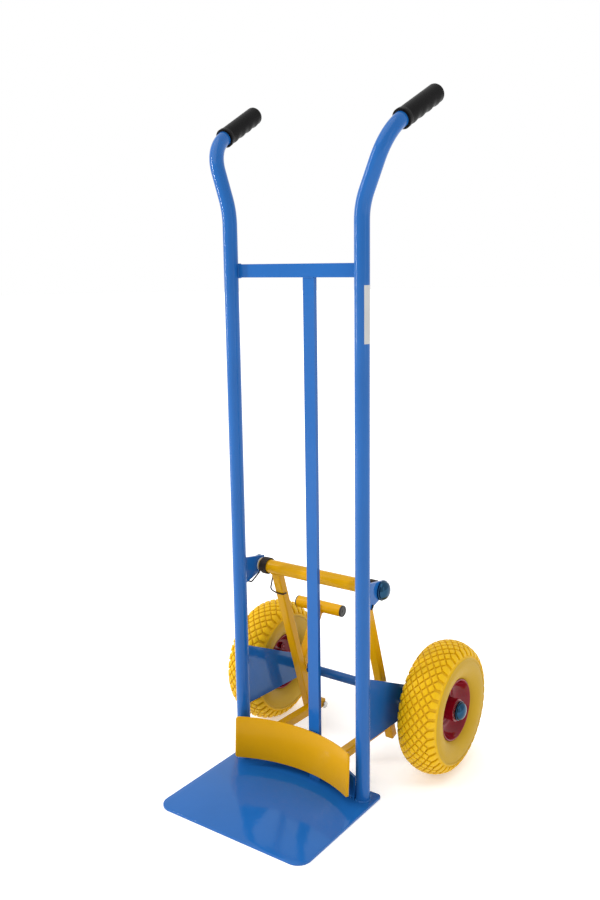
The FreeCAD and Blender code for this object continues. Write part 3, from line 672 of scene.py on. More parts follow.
class TRUCK_OT_uprights(PieceOperator):
    """Bends the two upright tubes: knee, elbow and the handle that runs into the grip"""

    bl_idname = "truck.uprights"
    bl_label = "Uprights"

    across: size("Across: diameter of the tube", 26.9, 15.0, 50.0)
    knee_height: size("Knee height: where the tubes start to lean outwards", 1083.5, 800.0, 1300.0)
    knee_round: size("Knee: radius of the bend", 135.0, 50.0, 300.0)
    elbow_round: size("Elbow: radius of the bend", 80.0, 40.0, 200.0)
    before_grip: size("Before grip: from the elbow's corner to the grip", 44.5, 20.0, 100.0)
    inside_grip: size("Inside grip: how far the tube runs into the grip", 116.0, 40.0, 200.0)

    def execute(self, context):
        low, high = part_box("right_side_plate")
        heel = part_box("toe_plate")[1]
        for word, side in SIDES.items():
            forward = handle_way(side)
            start = grip_start(word, side, forward)
            elbow = start - forward * self.before_grip
            foot = Vector((side * (low.x + high.x) / 2, heel.y - UPRIGHT_FROM_HEEL, heel.z))
            knee = Vector((foot.x, foot.y, self.knee_height))
            end = start + forward * self.inside_grip
            path = [foot, *bend(foot, knee, elbow, self.knee_round),
                    *bend(knee, elbow, end, self.elbow_round), end]
            tube = wire(f"{word}_upright_tube", path, self.across / 2, roundness=18)
            settle(tube, "frame", "blue_enamel", [f"{word}_upright"])
        return {"FINISHED"}


def bend(before, corner, after, radius, steps=16):
    """Points on the arc that rounds a corner of a tube's path."""
    back, ahead = (before - corner).normalized(), (after - corner).normalized()
    half = back.angle(ahead) / 2
    centre = corner + (back + ahead).normalized() * (radius / math.sin(half))
    first = corner + back * (radius / math.tan(half)) - centre
    last = corner + ahead * (radius / math.tan(half)) - centre
    turn = first.angle(last)
    return [centre + (first * math.sin(turn * (1.0 - i / steps)) + last * math.sin(turn * i / steps))
            / math.sin(turn) for i in range(steps + 1)]


def handle_way(side):
    """The way a handle points, from the elbow to the grip's closed end."""
    level, rise = math.cos(HANDLE_RISE), math.sin(HANDLE_RISE)
    return Vector((side * level * math.sin(HANDLE_SPLAY), level * math.cos(HANDLE_SPLAY), rise))


def grip_start(word, side, forward, radius=17.75 * MM):
    """The middle of the collar's open end, from the node's corners."""
    low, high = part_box(f"{word}_grip")
    y = low.y + radius * math.sqrt(1.0 - forward.y ** 2)
    z = low.z + radius * math.sqrt(1.0 - forward.z ** 2)
    inner = min(abs(low.x), abs(high.x))
    return Vector((side * (inner + radius * math.sqrt(1.0 - forward.x ** 2)), y, z))


class TRUCK_OT_grips(PieceOperator):
    """Models the rubber grips: collar, finger rests underneath and a round closed end"""

    bl_idname = "truck.grips"
    bl_label = "Grips"

    length: size("Length: from the collar to the closed end", 121.0, 60.0, 200.0)
    across: size("Across: diameter of the grip", 33.5, 25.0, 45.0)
    collar: size("Collar: diameter of the collar", 35.5, 25.0, 50.0)
    bore: size("Bore: diameter of the tube inside", 26.9, 15.0, 40.0)

    def execute(self, context):
        outer, collar, bore = self.across / 2, self.collar / 2, self.bore / 2
        end_round = 8.0 * MM
        profile = [(0.0, bore), (0.0, collar - 0.8 * MM), (0.8 * MM, collar), (7.0 * MM, collar)]
        profile += [(8.0 * MM, collar - 0.5 * MM), (9.5 * MM, outer)]
        stations = 44
        start, stop = 11.0 * MM, self.length - end_round
        profile += [(start + (stop - start) * i / stations, outer) for i in range(stations + 1)]
        profile += arc((stop, outer - end_round), end_round, 80.0, 10.0, 6)
        tip, end_wall = 0.02 * MM, 5.0 * MM
        profile += [(self.length, outer - end_round), (self.length, 2.0 * MM), (self.length, tip)]
        profile += [(self.length - end_wall, tip), (self.length - end_wall, bore)]
        for word, side in SIDES.items():
            grip = turned(f"{word}_grip_rubber", profile, 48)
            self.swell(grip, start, stop)
            put(grip, self.place(word, side))
            settle(grip, "frame", "grip_rubber", [f"{word}_grip"])
        return {"FINISHED"}

    def swell(self, grip, start, stop):
        """Raises the finger rests on the grip's underside."""
        rests, rise = sizes().finger_rests, sizes().finger_swell
        pitch = (stop - start) / rests
        for vertex in grip.data.vertices:
            along = vertex.co.x - start
            radius = math.hypot(vertex.co.y, vertex.co.z)
            if not 0.0 < along < stop - start or radius < self.across / 2 - 1e-5:
                continue
            under = max(0.0, -vertex.co.z / radius)
            wave = 0.5 - 0.5 * math.cos(math.tau * along / pitch)
            grow = 1.0 + rise * under ** 0.7 * (wave - 0.5) / radius
            vertex.co.y *= grow
            vertex.co.z *= grow

    @staticmethod
    def place(word, side):
        forward = handle_way(side)
        across = forward.cross(Z_WAY).normalized()
        turn = Matrix((forward, across * -1, across.cross(forward))).transposed().to_4x4()
        return Matrix.Translation(grip_start(word, side, forward)) @ turn


class TRUCK_OT_tyres(PieceOperator):
    """Models the solid tyres with their diamond blocks and shoulder lugs"""

    bl_idname = "truck.tyres"
    bl_label = "Tyres"

    across: size("Across: outside diameter", 262.0, 150.0, 400.0)
    crown_half: size("Crown: half the width of the flat crown", 29.0, 10.0, 50.0)
    crown_drop: size("Crown drop: fall of the crown towards its edges", 8.5, 2.0, 20.0)
    shoulder_round: size("Shoulder: radius of the shoulders", 25.0, 10.0, 40.0)
    row: size("Row: distance between two rows of diamonds", 8.1, 4.0, 16.0)
    root: size("Root: how deep a block is rooted in the tyre", 1.2, 0.2, 3.0)

    def execute(self, context):
        whole = joined("right_tyre_foam", [self.carcass(), self.tread()])
        twin = copy_of(whole, "left_tyre_foam")
        for word, piece in (("right", whole), ("left", twin)):
            put(piece, turned_to_axle(SIDES[word]))
            settle(piece, f"{word}_wheel", "tyre_foam", [f"{word}_tyre"], 34.0)
        return {"FINISHED"}

    def crown(self):
        """Height of the crown arc's centre above the axle, its radius and its end angle."""
        radius = (self.crown_half ** 2 + self.crown_drop ** 2) / (2 * self.crown_drop)
        return self.across / 2 - radius, radius, math.degrees(math.asin(self.crown_half / radius))

    def shoulder(self):
        """Centre of the shoulder's arc, its radius and the angle from the wheel's plane where it ends."""
        crown_r, radius, end = self.crown()
        reach = radius - self.shoulder_round
        centre = (reach * math.sin(math.radians(end)), crown_r + reach * math.cos(math.radians(end)))
        return centre, self.shoulder_round, 74.0

    def carcass(self):
        depth = sizes().tread_depth
        crown_r, crown_radius, crown_end = self.crown()
        centre, radius, end = self.shoulder()
        half = arc((0.0, crown_r), crown_radius - depth, 90.0, 90.0 - crown_end, 8)
        half += arc(centre, radius - depth, 85.0 - crown_end, 98.0 - end, 6)
        wall = [(39.7, 26.0), (40.9, 27.6), (41.2, 28.8), (41.0, 29.8), (40.3, 30.4), (40.3, 31.2),
                (41.1, 34.0), (41.7, 38.0), (41.5, 44.0), (40.6, 50.0), (39.0, 55.5), (36.8, 60.5),
                (34.2, 64.5), (31.6, 67.3), (29.4, 68.9), (28.0, 70.2), (20.0, 75.8), (9.0, 83.0)]
        half += [(x * MM, self.across / 2 - below * MM) for x, below in wall]
        outline = half + [(-x, r) for x, r in reversed(half)]
        return turned("tyre_carcass", outline[:-1], 120)

    def tread(self):
        """One repeat of the tread, copied round the tyre."""
        repeats = sizes().tread_repeats
        turn = math.tau / repeats
        pieces = [self.diamond(row * self.row, (row % 2) * turn / 2) for row in range(-3, 4)]
        pieces += [self.lug(side) for side in SIDES.values()]
        repeat = joined("tread_repeat", pieces)
        deselect()
        bpy.ops.object.empty_add(rotation=(turn, 0.0, 0.0))
        guide = bpy.context.object
        take(repeat)
        ring = repeat.modifiers.new("Round the tyre", "ARRAY")
        ring.use_relative_offset = False
        ring.use_object_offset = True
        ring.offset_object = guide
        ring.count = repeats
        bpy.ops.object.modifier_apply(modifier=ring.name)
        bpy.data.objects.remove(guide)
        return repeat

    def pitch(self):
        return math.pi * self.across / sizes().tread_repeats

    def diamond(self, x, turn):
        crown_r, crown_radius, _ = self.crown()
        gap = sizes().block_gap
        height = sizes().tread_depth + self.root
        deselect()
        bpy.ops.mesh.primitive_cylinder_add(vertices=4, radius=1.0, depth=height)
        lozenge = bpy.context.object
        lozenge.scale = (self.row - gap / 2, self.pitch() / 2 - gap / 2, 1.0)
        apply_transform()
        bevel(lozenge, lambda e: runs_along(e, 2), 1.9 * MM, 2)
        bevel(lozenge, lambda e: middle(e).z > height / 2 - 1e-6, 1.6 * MM, 2)
        lean = math.asin(x / crown_radius)
        return put(lozenge, Matrix.Rotation(turn, 4, "X") @ Matrix.Translation((0.0, 0.0, crown_r))
                   @ Matrix.Rotation(lean, 4, "Y")
                   @ Matrix.Translation((0.0, 0.0, crown_radius - height / 2 - 0.3 * MM)))

    def lug(self, side):
        """A shoulder lug, bent over the shoulder from the last diamonds to the sidewall."""
        crown_r, crown_radius, crown_end = self.crown()
        centre, radius, end = self.shoulder()
        half = (self.pitch() - sizes().block_gap) / 2
        height = sizes().tread_depth + self.root
        rings = []
        for x, share in ((26.2, 0.10), (28.6, 0.42)):
            lean = math.asin(x * MM / crown_radius)
            rings.append((crown_radius * math.sin(lean), crown_r + crown_radius * math.cos(lean), share))
        for degrees, share in ((crown_end + 6.0, 0.74), (48.0, 0.76), (61.0, 0.70), (end, 0.64)):
            lean = math.radians(degrees)
            rings.append((centre[0] + radius * math.sin(lean), centre[1] + radius * math.cos(lean), share))
        deselect()
        bpy.ops.mesh.primitive_grid_add(x_subdivisions=len(rings) - 1, y_subdivisions=1, size=1.0)
        sheet = bpy.context.object
        columns = sorted({round(v.co.x, 5) for v in sheet.data.vertices})
        for vertex in sheet.data.vertices:
            x, r, share = rings[columns.index(round(vertex.co.x, 5))]
            vertex.co = (side * x, math.copysign(half * share, vertex.co.y), r - 0.1 * MM)
        take(sheet)
        thick = sheet.modifiers.new("Depth", "SOLIDIFY")
        thick.thickness = height
        thick.offset = -side
        bpy.ops.object.modifier_apply(modifier=thick.name)
        ease = sheet.modifiers.new("Ease", "BEVEL")
        ease.width = 1.2 * MM
        ease.segments = 2
        ease.limit_method = "ANGLE"
        ease.angle_limit = math.radians(50.0)
        bpy.ops.object.modifier_apply(modifier=ease.name)
        outward(sheet)
        return sheet


class TRUCK_OT_rims(PieceOperator):
    """Models the two pressed halves of each rim as one rolled and dished shell"""

    bl_idname = "truck.rims"
    bl_label = "Rims"

    lip: size("Lip: outside diameter of the rolled lip", 122.0, 80.0, 200.0)
    barrel: size("Barrel: outside diameter of the well", 96.0, 60.0, 160.0)
    hub: size("Hub: diameter of the hub tube", 44.0, 20.0, 80.0)
    sheet: size("Sheet: thickness of the pressed steel", 2.5, 1.0, 5.0)

    def execute(self, context):
        for word, side in SIDES.items():
            for face, half in ((1.0, "outer"), (-1.0, "inner")):
                shell = turned(f"{word}_rim_{half}_pressing", self.section(), 96)
                put(shell, turned_to_axle(side) @ Matrix.Scale(face, 4, X_WAY))
                settle(shell, f"{word}_wheel", "red_enamel", [f"{word}_rim_{half}"], 50.0)
        return {"FINISHED"}

    def section(self):
        """The pressing's section: out along its back from the hub, round the lip and down the bowl."""
        lip, barrel, hub = self.lip / 2, self.barrel / 2, self.hub / 2
        corner, roll = 3.0 * MM, 1.9 * MM
        outline = [(0.0, hub), (0.0, barrel - corner)]
        outline += arc((corner, barrel - corner), corner, 180.0, 90.0, 3)
        outline += [(9.0 * MM, barrel)]
        outline += arc((29.0 * MM, lip - roll), roll, 158.0, -62.0, 12)
        bowl = [(28.6, 3.9), (27.2, 4.8), (24.6, 5.9), (21.0, 7.4), (17.4, 9.2), (14.2, 11.2), (11.4, 13.6),
                (9.2, 16.4), (7.6, 19.4), (6.6, 22.4), (5.9, 24.4), (4.6, 26.0), (3.4, 26.8), (2.5, 28.2)]
        outline += [(x * MM, lip - below * MM) for x, below in bowl]
        return outline + [(self.sheet, hub)]


class TRUCK_OT_caps(PieceOperator):
    """Models the domed push-on caps of the axle and of the pivot rod"""

    bl_idname = "truck.caps"
    bl_label = "Push-on caps"

    across: size("Across: diameter of a cap", 38.0, 20.0, 60.0)
    rise: size("Rise: height of a cap", 14.0, 4.0, 20.0)
    bore: size("Bore: diameter of the shaft inside", 20.0, 8.0, 30.0)

    def execute(self, context):
        for node, centre in (("axle_caps", AXLE), ("pivot_caps", PIVOT)):
            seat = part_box(node)[1].x - self.rise
            caps = []
            for side in SIDES.values():
                place = at((side * seat, centre.y, centre.z), side)
                caps.append(put(turned("cap", self.section(), 64), place))
            settle(joined(f"{node}_pressed", caps), "frame", "cap_blue_zinc", [node])
        return {"FINISHED"}

    def section(self):
        radius, rise, bore = self.across / 2, self.rise, self.bore / 2
        skirt, crown_wall = 3.2 * MM, 5.0 * MM
        rim, edge = 0.5 * MM, 0.6 * MM
        outline = [(0.0, bore), (0.0, radius - rim)]
        outline += arc((rim, radius - rim), rim, 180.0, 90.0, 3)
        outline += [(skirt - edge, radius)]
        outline += arc((skirt - edge, radius - edge), edge, 80.0, 10.0, 3)
        start = (skirt + 0.3 * MM, radius - 1.4 * MM)
        for i in range(14):
            angle = math.radians(90.0 * i / 14)
            outline.append((start[0] + (rise - start[0]) * math.sin(angle), start[1] * math.cos(angle)))
        outline += [(rise, TIP), (rise - crown_wall, TIP), (rise - crown_wall, bore)]
        return outline


class TRUCK_OT_pedal_caps(PieceOperator):
    """Models the plastic plugs in the two ends of the pedal's bar"""

    bl_idname = "truck.pedal_caps"
    bl_label = "Pedal end caps"

    across: size("Across: diameter of a plug's head", 25.0, 10.0, 50.0)
    head: size("Head: how far a plug stands out of the bar", 3.5, 1.0, 10.0)
    plug: size("Plug: how far a plug reaches into the bar", 12.0, 3.0, 30.0)
    wall: size("Wall: wall of the bar", 2.0, 0.5, 5.0)

    def execute(self, context):
        low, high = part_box("pedal_end_caps")
        centre = (low + high) / 2
        radius, inside = self.across / 2, self.across / 2 - self.wall
        head, ease, edge, dish = self.head, 0.8 * MM, 1.6 * MM, 0.5 * MM
        outline = [(-self.plug, TIP), (-self.plug, inside - ease), (-self.plug + ease, inside), (0.0, inside)]
        outline += [(0.0, radius - 0.3 * MM), (0.3 * MM, radius), (head - edge, radius)]
        outline += arc((head - edge, radius - edge), edge, 80.0, 0.0, 5)
        outline += [(head, radius - 3.4 * MM), (head - dish, radius - 3.9 * MM), (head - dish, 1.6 * MM)]
        outline += [(head - 0.1 * MM, 1.1 * MM), (head, TIP)]
        caps = []
        for side in SIDES.values():
            end = high.x - head if side > 0 else low.x + head
            caps.append(put(turned("cap", outline, 48), at((end, centre.y, centre.z), side)))
        settle(joined("pedal_plugs", caps), "pusher", "black_plastic", ["pedal_end_caps"])
        return {"FINISHED"}


class TRUCK_OT_welds(PieceOperator):
    """Lays the rippled weld beads where the frame's and the pusher's steel parts are joined"""

    bl_idname = "truck.welds"
    bl_label = "Weld beads"

    tube: size("Tube: diameter of the uprights", 26.9, 10.0, 60.0)
    square: size("Square: size of the pusher's square tubes", 18.0, 8.0, 40.0)
    arm_spread: size("Arm spread: from the middle of the truck to an arm's middle", 100.5, 50.0, 200.0)
    arm_lean: tilt("Arm lean: how far the arms lean back", ARM_LEAN_DEG)
    stem_lean: tilt("Stem lean: how far the pedal's stem leans", 31.5)

    def execute(self, context):
        for body, slot, paths in (("frame", "blue_enamel", self.frame_paths()),
                                  ("pusher", "yellow_enamel", self.pusher_paths())):
            beads = [self.bead(*path) for path in paths]
            settle(joined(f"{body}_welds", beads), body, slot, (), 60.0)
        return {"FINISHED"}

    def bead(self, points, radius=None, closed=False):
        """A rippled bead along a path of points, with two stations to each ripple."""
        points = [Vector(point) for point in points]
        if closed:
            points.append(points[0].copy())
        step = sizes().weld_ripple / 2
        made = [points[0]]
        left = step
        for start, end in zip(points, points[1:]):
            length = (end - start).length
            while left < length:
                made.append(start.lerp(end, left / length))
                left += step
            left -= length
        if closed and (made[-1] - made[0]).length < step / 2:
            made.pop()
        return wire("bead", made, radius or sizes().weld_bead, (1.0, 0.86), closed)

    @staticmethod
    def ring(centre, radius, first, second, steps=40):
        """A ring in the plane of two ways."""
        turns = [math.tau * i / steps for i in range(steps)]
        return [centre + first * (radius * math.cos(turn)) + second * (radius * math.sin(turn))
                for turn in turns]

    def frame_paths(self):
        low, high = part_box("right_side_plate")
        plate_x, half_plate = (low.x + high.x) / 2, (high.x - low.x) / 2
        tube, proud, short = self.tube / 2, 0.4 * MM, 2.0 * MM
        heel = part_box("toe_plate")[1]
        upright_y = heel.y - UPRIGHT_FROM_HEEL
        cross_low, cross_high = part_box("cross_bar")
        paths = []
        for side in SIDES.values():
            foot = Vector((side * plate_x, upright_y, heel.z + proud))
            paths.append((self.ring(foot, tube + proud, X_WAY, Y_WAY), None, True))
            x = side * (plate_x - math.sqrt(tube ** 2 - (cross_low.y - upright_y) ** 2))
            for y in (cross_low.y, cross_high.y):
                paths.append(([(x, y, cross_low.z), (x, y, cross_high.z)], 1.7 * MM))
            for z in (cross_low.z, cross_high.z):
                paths.append(([(x, cross_low.y, z), (x, cross_high.y, z)], 1.6 * MM))
            for node in ("right_side_plate", "right_pivot_bracket"):
                foot_z, top_z = (corner.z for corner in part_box(node))
                for offset in (-half_plate - 0.6 * MM, half_plate + 0.6 * MM):
                    x = side * (plate_x + offset)
                    y = upright_y + math.sqrt(tube ** 2 - offset ** 2) + proud
                    paths.append(([(x, y, foot_z + short), (x, y, top_z - short)], 2.0 * MM))
            hub = Vector((side * (plate_x - half_plate - proud), AXLE.y, AXLE.z))
            paths.append((self.ring(hub, 10.4 * MM, Y_WAY, Z_WAY, 32), 1.8 * MM, True))
        return paths + self.bar_paths(cross_low.z - 0.3 * MM, heel.z + 0.3 * MM)

    @staticmethod
    def bar_paths(top, foot):
        """Beads at both ends of the middle bar and along both faces of the heel plate."""
        low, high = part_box("middle_bar")
        left, right = low.x + 1.0 * MM, high.x - 1.0 * MM
        paths = [([(left, low.y, top), (right, low.y, top)], 1.1 * MM),
                 ([(left, high.y, top), (right, high.y, top)], 1.6 * MM),
                 ([(low.x, high.y, foot), (high.x, high.y, foot)], 2.0 * MM)]
        heel_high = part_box("heel_plate")[1]
        thick, inner, steps = 5.0 * MM, 250.0 * MM, 24
        end = math.asin(min(0.99, heel_high.x / (inner + thick)))
        centre_y = heel_high.y - thick - inner
        for radius in (inner, inner + thick):
            turns = [end * i / steps for i in range(1 - steps, steps)]
            points = [(radius * math.sin(turn), centre_y + radius * math.cos(turn), foot) for turn in turns]
            paths.append((points, 1.8 * MM))
        return paths

    def rectangle(self, centre, across, ahead, reach):
        """A rectangular path with rounded corners round a square tube; reach(u, v) gives the third way."""
        half, corner = self.square / 2 + 0.3 * MM, 2.5 * MM
        points = []
        for quarter in range(4):
            start = math.radians(90.0 * quarter)
            mid_u = math.copysign(half - corner, math.cos(start + math.pi / 4))
            mid_v = math.copysign(half - corner, math.sin(start + math.pi / 4))
            for i in range(4):
                angle = start + math.radians(30.0 * i)
                u, v = mid_u + corner * math.cos(angle), mid_v + corner * math.sin(angle)
                points.append(centre + across * u + ahead * v + reach(u, v))
        return points

    def pusher_paths(self):
        tube = self.tube / 2
        down = Vector((0.0, math.sin(self.arm_lean), -math.cos(self.arm_lean)))
        square_to_arm = Vector((0.0, math.cos(self.arm_lean), math.sin(self.arm_lean)))
        paths = []

        def to_pivot(u, v):
            return down * (math.sqrt(tube ** 2 - min(abs(v), tube * 0.98) ** 2) + 0.4 * MM)

        for side in SIDES.values():
            top = Vector((side * self.arm_spread, PIVOT.y, PIVOT.z))
            paths.append((self.rectangle(top, X_WAY, square_to_arm, to_pivot), 1.8 * MM, True))
            paths.append((self.plate_joint(side), 2.0 * MM, True))
            paths += self.arm_foot(side, down, square_to_arm)
        return paths + self.stem_paths(square_to_arm)

    def plate_joint(self, side):
        """Round a push bar's front end, on the curved back of the pusher plate."""
        low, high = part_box("pusher_plate")
        bar_low, bar_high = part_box("right_push_bar")
        centre_x = (bar_low.x + bar_high.x) / 2
        middle_z = (low.z + high.z) / 2
        bar_up, middle_ahead, back_round = 3.5 * MM, 2.67 * MM, 259.0 * MM
        half = self.square / 2 + 0.3 * MM
        points = []
        for u, v in ((-1, -1), (0, -1), (1, -1), (1, 0), (1, 1), (0, 1), (-1, 1), (-1, 0)):
            x, up = centre_x + u * half, bar_up + v * half
            y = high.y - middle_ahead - back_round + math.sqrt(back_round ** 2 - x ** 2)
            y += up * math.tan(math.radians(PLATE_LEAN_DEG)) + 0.3 * MM
            points.append(Vector((side * x, y, middle_z + up)))
        return points

    def arm_foot(self, side, down, square_to_arm):
        """Two short beads where an arm lies against its push bar."""
        inner_x = side * (self.arm_spread - self.square / 2)
        bar_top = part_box("right_push_bar")[1].z
        paths = []
        for edge in (-1.0, 1.0):
            aside = square_to_arm * (edge * (self.square / 2 - 0.5 * MM))
            start = Vector((inner_x, PIVOT.y, PIVOT.z)) + aside
            heights = (bar_top - 22.0 * MM, bar_top - 6.0 * MM)
            paths.append(([start + down * ((z - start.z) / down.z) for z in heights], 1.6 * MM))
        return paths

    def stem_paths(self, square_to_arm):
        """Where the pedal's stem meets the arm's rear face and the pedal's bar."""
        low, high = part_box("pedal_bar")
        centre = (low + high) / 2
        stem_down = Vector((0.0, -math.sin(self.stem_lean), -math.cos(self.stem_lean)))
        stem_side = Vector((0.0, math.cos(self.stem_lean), -math.sin(self.stem_lean)))
        start = centre + Vector((0.0, -6.0 * MM, 0.0))
        bar = (high.z - low.z) / 2
        face = Vector((centre.x, PIVOT.y, PIVOT.z)) + square_to_arm * (self.square / 2 + 0.3 * MM)

        def to_arm(u, v):
            place = start + stem_side * v
            return stem_down * ((face - place).dot(square_to_arm) / stem_down.dot(square_to_arm))

        def to_bar(u, v):
            place = start + stem_side * v - centre
            along = place.dot(stem_down)
            inside = max(0.0, (bar + 0.3 * MM) ** 2 - place.length_squared + along ** 2)
            return stem_down * (math.sqrt(inside) - along)

        return [(self.rectangle(start, X_WAY, stem_side, reach), 1.7 * MM, True)
                for reach in (to_arm, to_bar)]


class TRUCK_OT_fasteners(PieceOperator):
    """Models the hexagon bolts and nuts with chamfered corners and threaded ends"""

    bl_idname = "truck.fasteners"
    bl_label = "Bolts and nuts"

    thread: size("Thread: diameter of the bolts", 8.0, 4.0, 12.0)
    across: size("Across flats: size of a head or nut", 13.0, 7.0, 20.0)
    head: size("Head: height of a bolt's head", 5.3, 3.0, 9.0)
    nut: size("Nut: height of a nut", 6.5, 3.0, 10.0)

    def hexagon(self, height):
        deselect()
        bpy.ops.mesh.primitive_cylinder_add(
            vertices=6, radius=self.across / math.sqrt(3), depth=height, location=(height / 2, 0.0, 0.0),
            rotation=(0.0, math.radians(90), 0.0))
        piece = bpy.context.object
        apply_transform()
        bevel(piece, lambda e: not runs_along(e, 0), sizes().fastener_chamfer, 2)
        bevel(piece, lambda e: runs_along(e, 0), 0.35 * MM, 2)
        return piece

    def threaded_end(self, length):
        """A bolt's end with thread grooves and a chamfered tip, from x = 0."""
        radius, pitch = self.thread / 2, 1.25 * MM
        chamfer = 1.0 * MM
        outline = [(0.0, TIP), (0.0, radius)]
        turns = int((length - chamfer) / pitch)
        for i in range(turns):
            outline += [((i + 0.15) * pitch, radius), ((i + 0.5) * pitch, radius - 0.5 * MM),
                        ((i + 0.85) * pitch, radius)]
        outline += [(length - chamfer, radius), (length, radius - chamfer), (length, TIP)]
        return turned("thread", outline, 20)

    def bolt(self, grip):
        """Head against x = 0 on the +X side, and an end that stands out at x = -grip."""
        head = self.hexagon(self.head)
        end = put(self.threaded_end(self.nut + 1.5 * MM),
                  Matrix.Translation((-grip, 0.0, 0.0)) @ Matrix.Rotation(math.pi, 4, "Z"))
        return joined("bolt", [head, end])

    def execute(self, context):
        self.push_bar_bolts()
        self.rim_bolts()
        return {"FINISHED"}

    def push_bar_bolts(self):
        bolts, nuts = [], []
        low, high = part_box("bar_bolts")
        y, z = (low.y + high.y) / 2, (low.z + high.z) / 2
        grip, seat = 18.0 * MM, abs(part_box("left_push_bar")[1].x)
        for side in SIDES.values():
            bolts.append(put(self.bolt(grip), at((side * seat, y, z), -side)))
            nuts.append(put(self.hexagon(self.nut), at((side * (seat + grip), y, z), side)))
        settle(joined("push_bar_bolts", bolts), "pusher", "zinc_plate", ["bar_bolts"], 30.0)
        settle(joined("push_bar_nuts", nuts), "pusher", "zinc_plate", ["bar_nuts"], 30.0)

    def rim_bolts(self):
        circle, quarter, web = 31.0 * MM, math.tau / 4, 2.5 * MM
        for word, side in SIDES.items():
            bolts, nuts = [], []
            for i in range(4):
                turn = (turned_to_axle(side) @ Matrix.Rotation(quarter * (i + 0.5), 4, "X")
                        @ Matrix.Translation((0.0, 0.0, circle)))
                bolts.append(put(self.bolt(2 * web), turn @ Matrix.Translation((web, 0.0, 0.0))))
                beyond = Matrix.Translation((-web - self.nut, 0.0, 0.0))
                nuts.append(put(self.hexagon(self.nut), turn @ beyond))
            settle(joined(f"{word}_rim_bolts_painted", bolts), f"{word}_wheel", "red_enamel",
                   [f"{word}_rim_bolts"], 30.0)
            settle(joined(f"{word}_rim_nuts_painted", nuts), f"{word}_wheel", "red_enamel",
                   [f"{word}_rim_nuts"], 30.0)


class TRUCK_OT_springs(PieceOperator):
    """Models the two torsion springs in one pose; on the truck they wind up as the pusher swings"""

    bl_idname = "truck.springs"
    bl_label = "Torsion springs"

    gauge: size("Gauge: diameter of the spring's wire", 3.0, 1.0, 5.0)
    coil: size("Coil: radius of the coil's middle line", 15.35, 5.0, 30.0)
    pitch: size("Pitch: distance from turn to turn", 3.3, 1.0, 8.0)

    def execute(self, context):
        for word, side in SIDES.items():
            points = [Vector((side * x, y, z)) for x, y, z in self.line()]
            spring = wire(f"{word}_torsion_spring", points, self.gauge / 2)
            settle(spring, None, "spring_black", [f"{word}_spring"], 60.0)
            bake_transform(spring)
        return {"FINISHED"}

    def line(self):
        """The wire's middle line, from the hook under the bracket to the leg over the arm."""
        start_deg, end_deg = -116.0, 95.0
        turns = 4 + (end_deg - start_deg) / 360
        inner_x = 115.5 * MM
        hook = [(145.7, -34.3, -17.2), (145.7, -36.6, -22.2), (144.6, -37.4, -24.9), (142.0, -37.5, -25.3),
                (136.0, -37.5, -25.3), (134.4, -37.0, -25.1), (133.4, -34.5, -23.4),
                (131.7, -15.8, -12.0), (131.4, -14.4, -9.8), (131.0, -14.3, -6.0)]
        points = [(x * MM, PIVOT.y + y * MM, PIVOT.z + z * MM) for x, y, z in hook]
        steps = 150
        for i in range(steps + 1):
            share = 1.0 - i / steps
            angle = math.radians(start_deg + 360.0 * turns * share)
            points.append((inner_x + self.pitch * turns * share, PIVOT.y - self.coil * math.sin(angle),
                           PIVOT.z + self.coil * math.cos(angle)))
        leg = [(40.0, 16.5, 112.2), (44.5, 16.3, 111.8), (48.0, 14.8, 111.5), (51.3, 12.4, 111.1),
               (53.5, 11.1, 109.6), (55.3, 10.65, 107.0), (56.0, 10.6, 103.0), (56.0, 10.6, 93.0),
               (56.3, 10.3, 91.0), (56.8, 9.2, 90.0), (60.0, 0.0, 89.9)]
        points += [self.by_arm(*place) for place in leg]
        return points

    @staticmethod
    def by_arm(down, forward, x):
        lean = math.radians(ARM_LEAN_DEG)
        y = down * math.sin(lean) - forward * math.cos(lean)
        z = -down * math.cos(lean) - forward * math.sin(lean)
        return x * MM, PIVOT.y + y * MM, PIVOT.z + z * MM


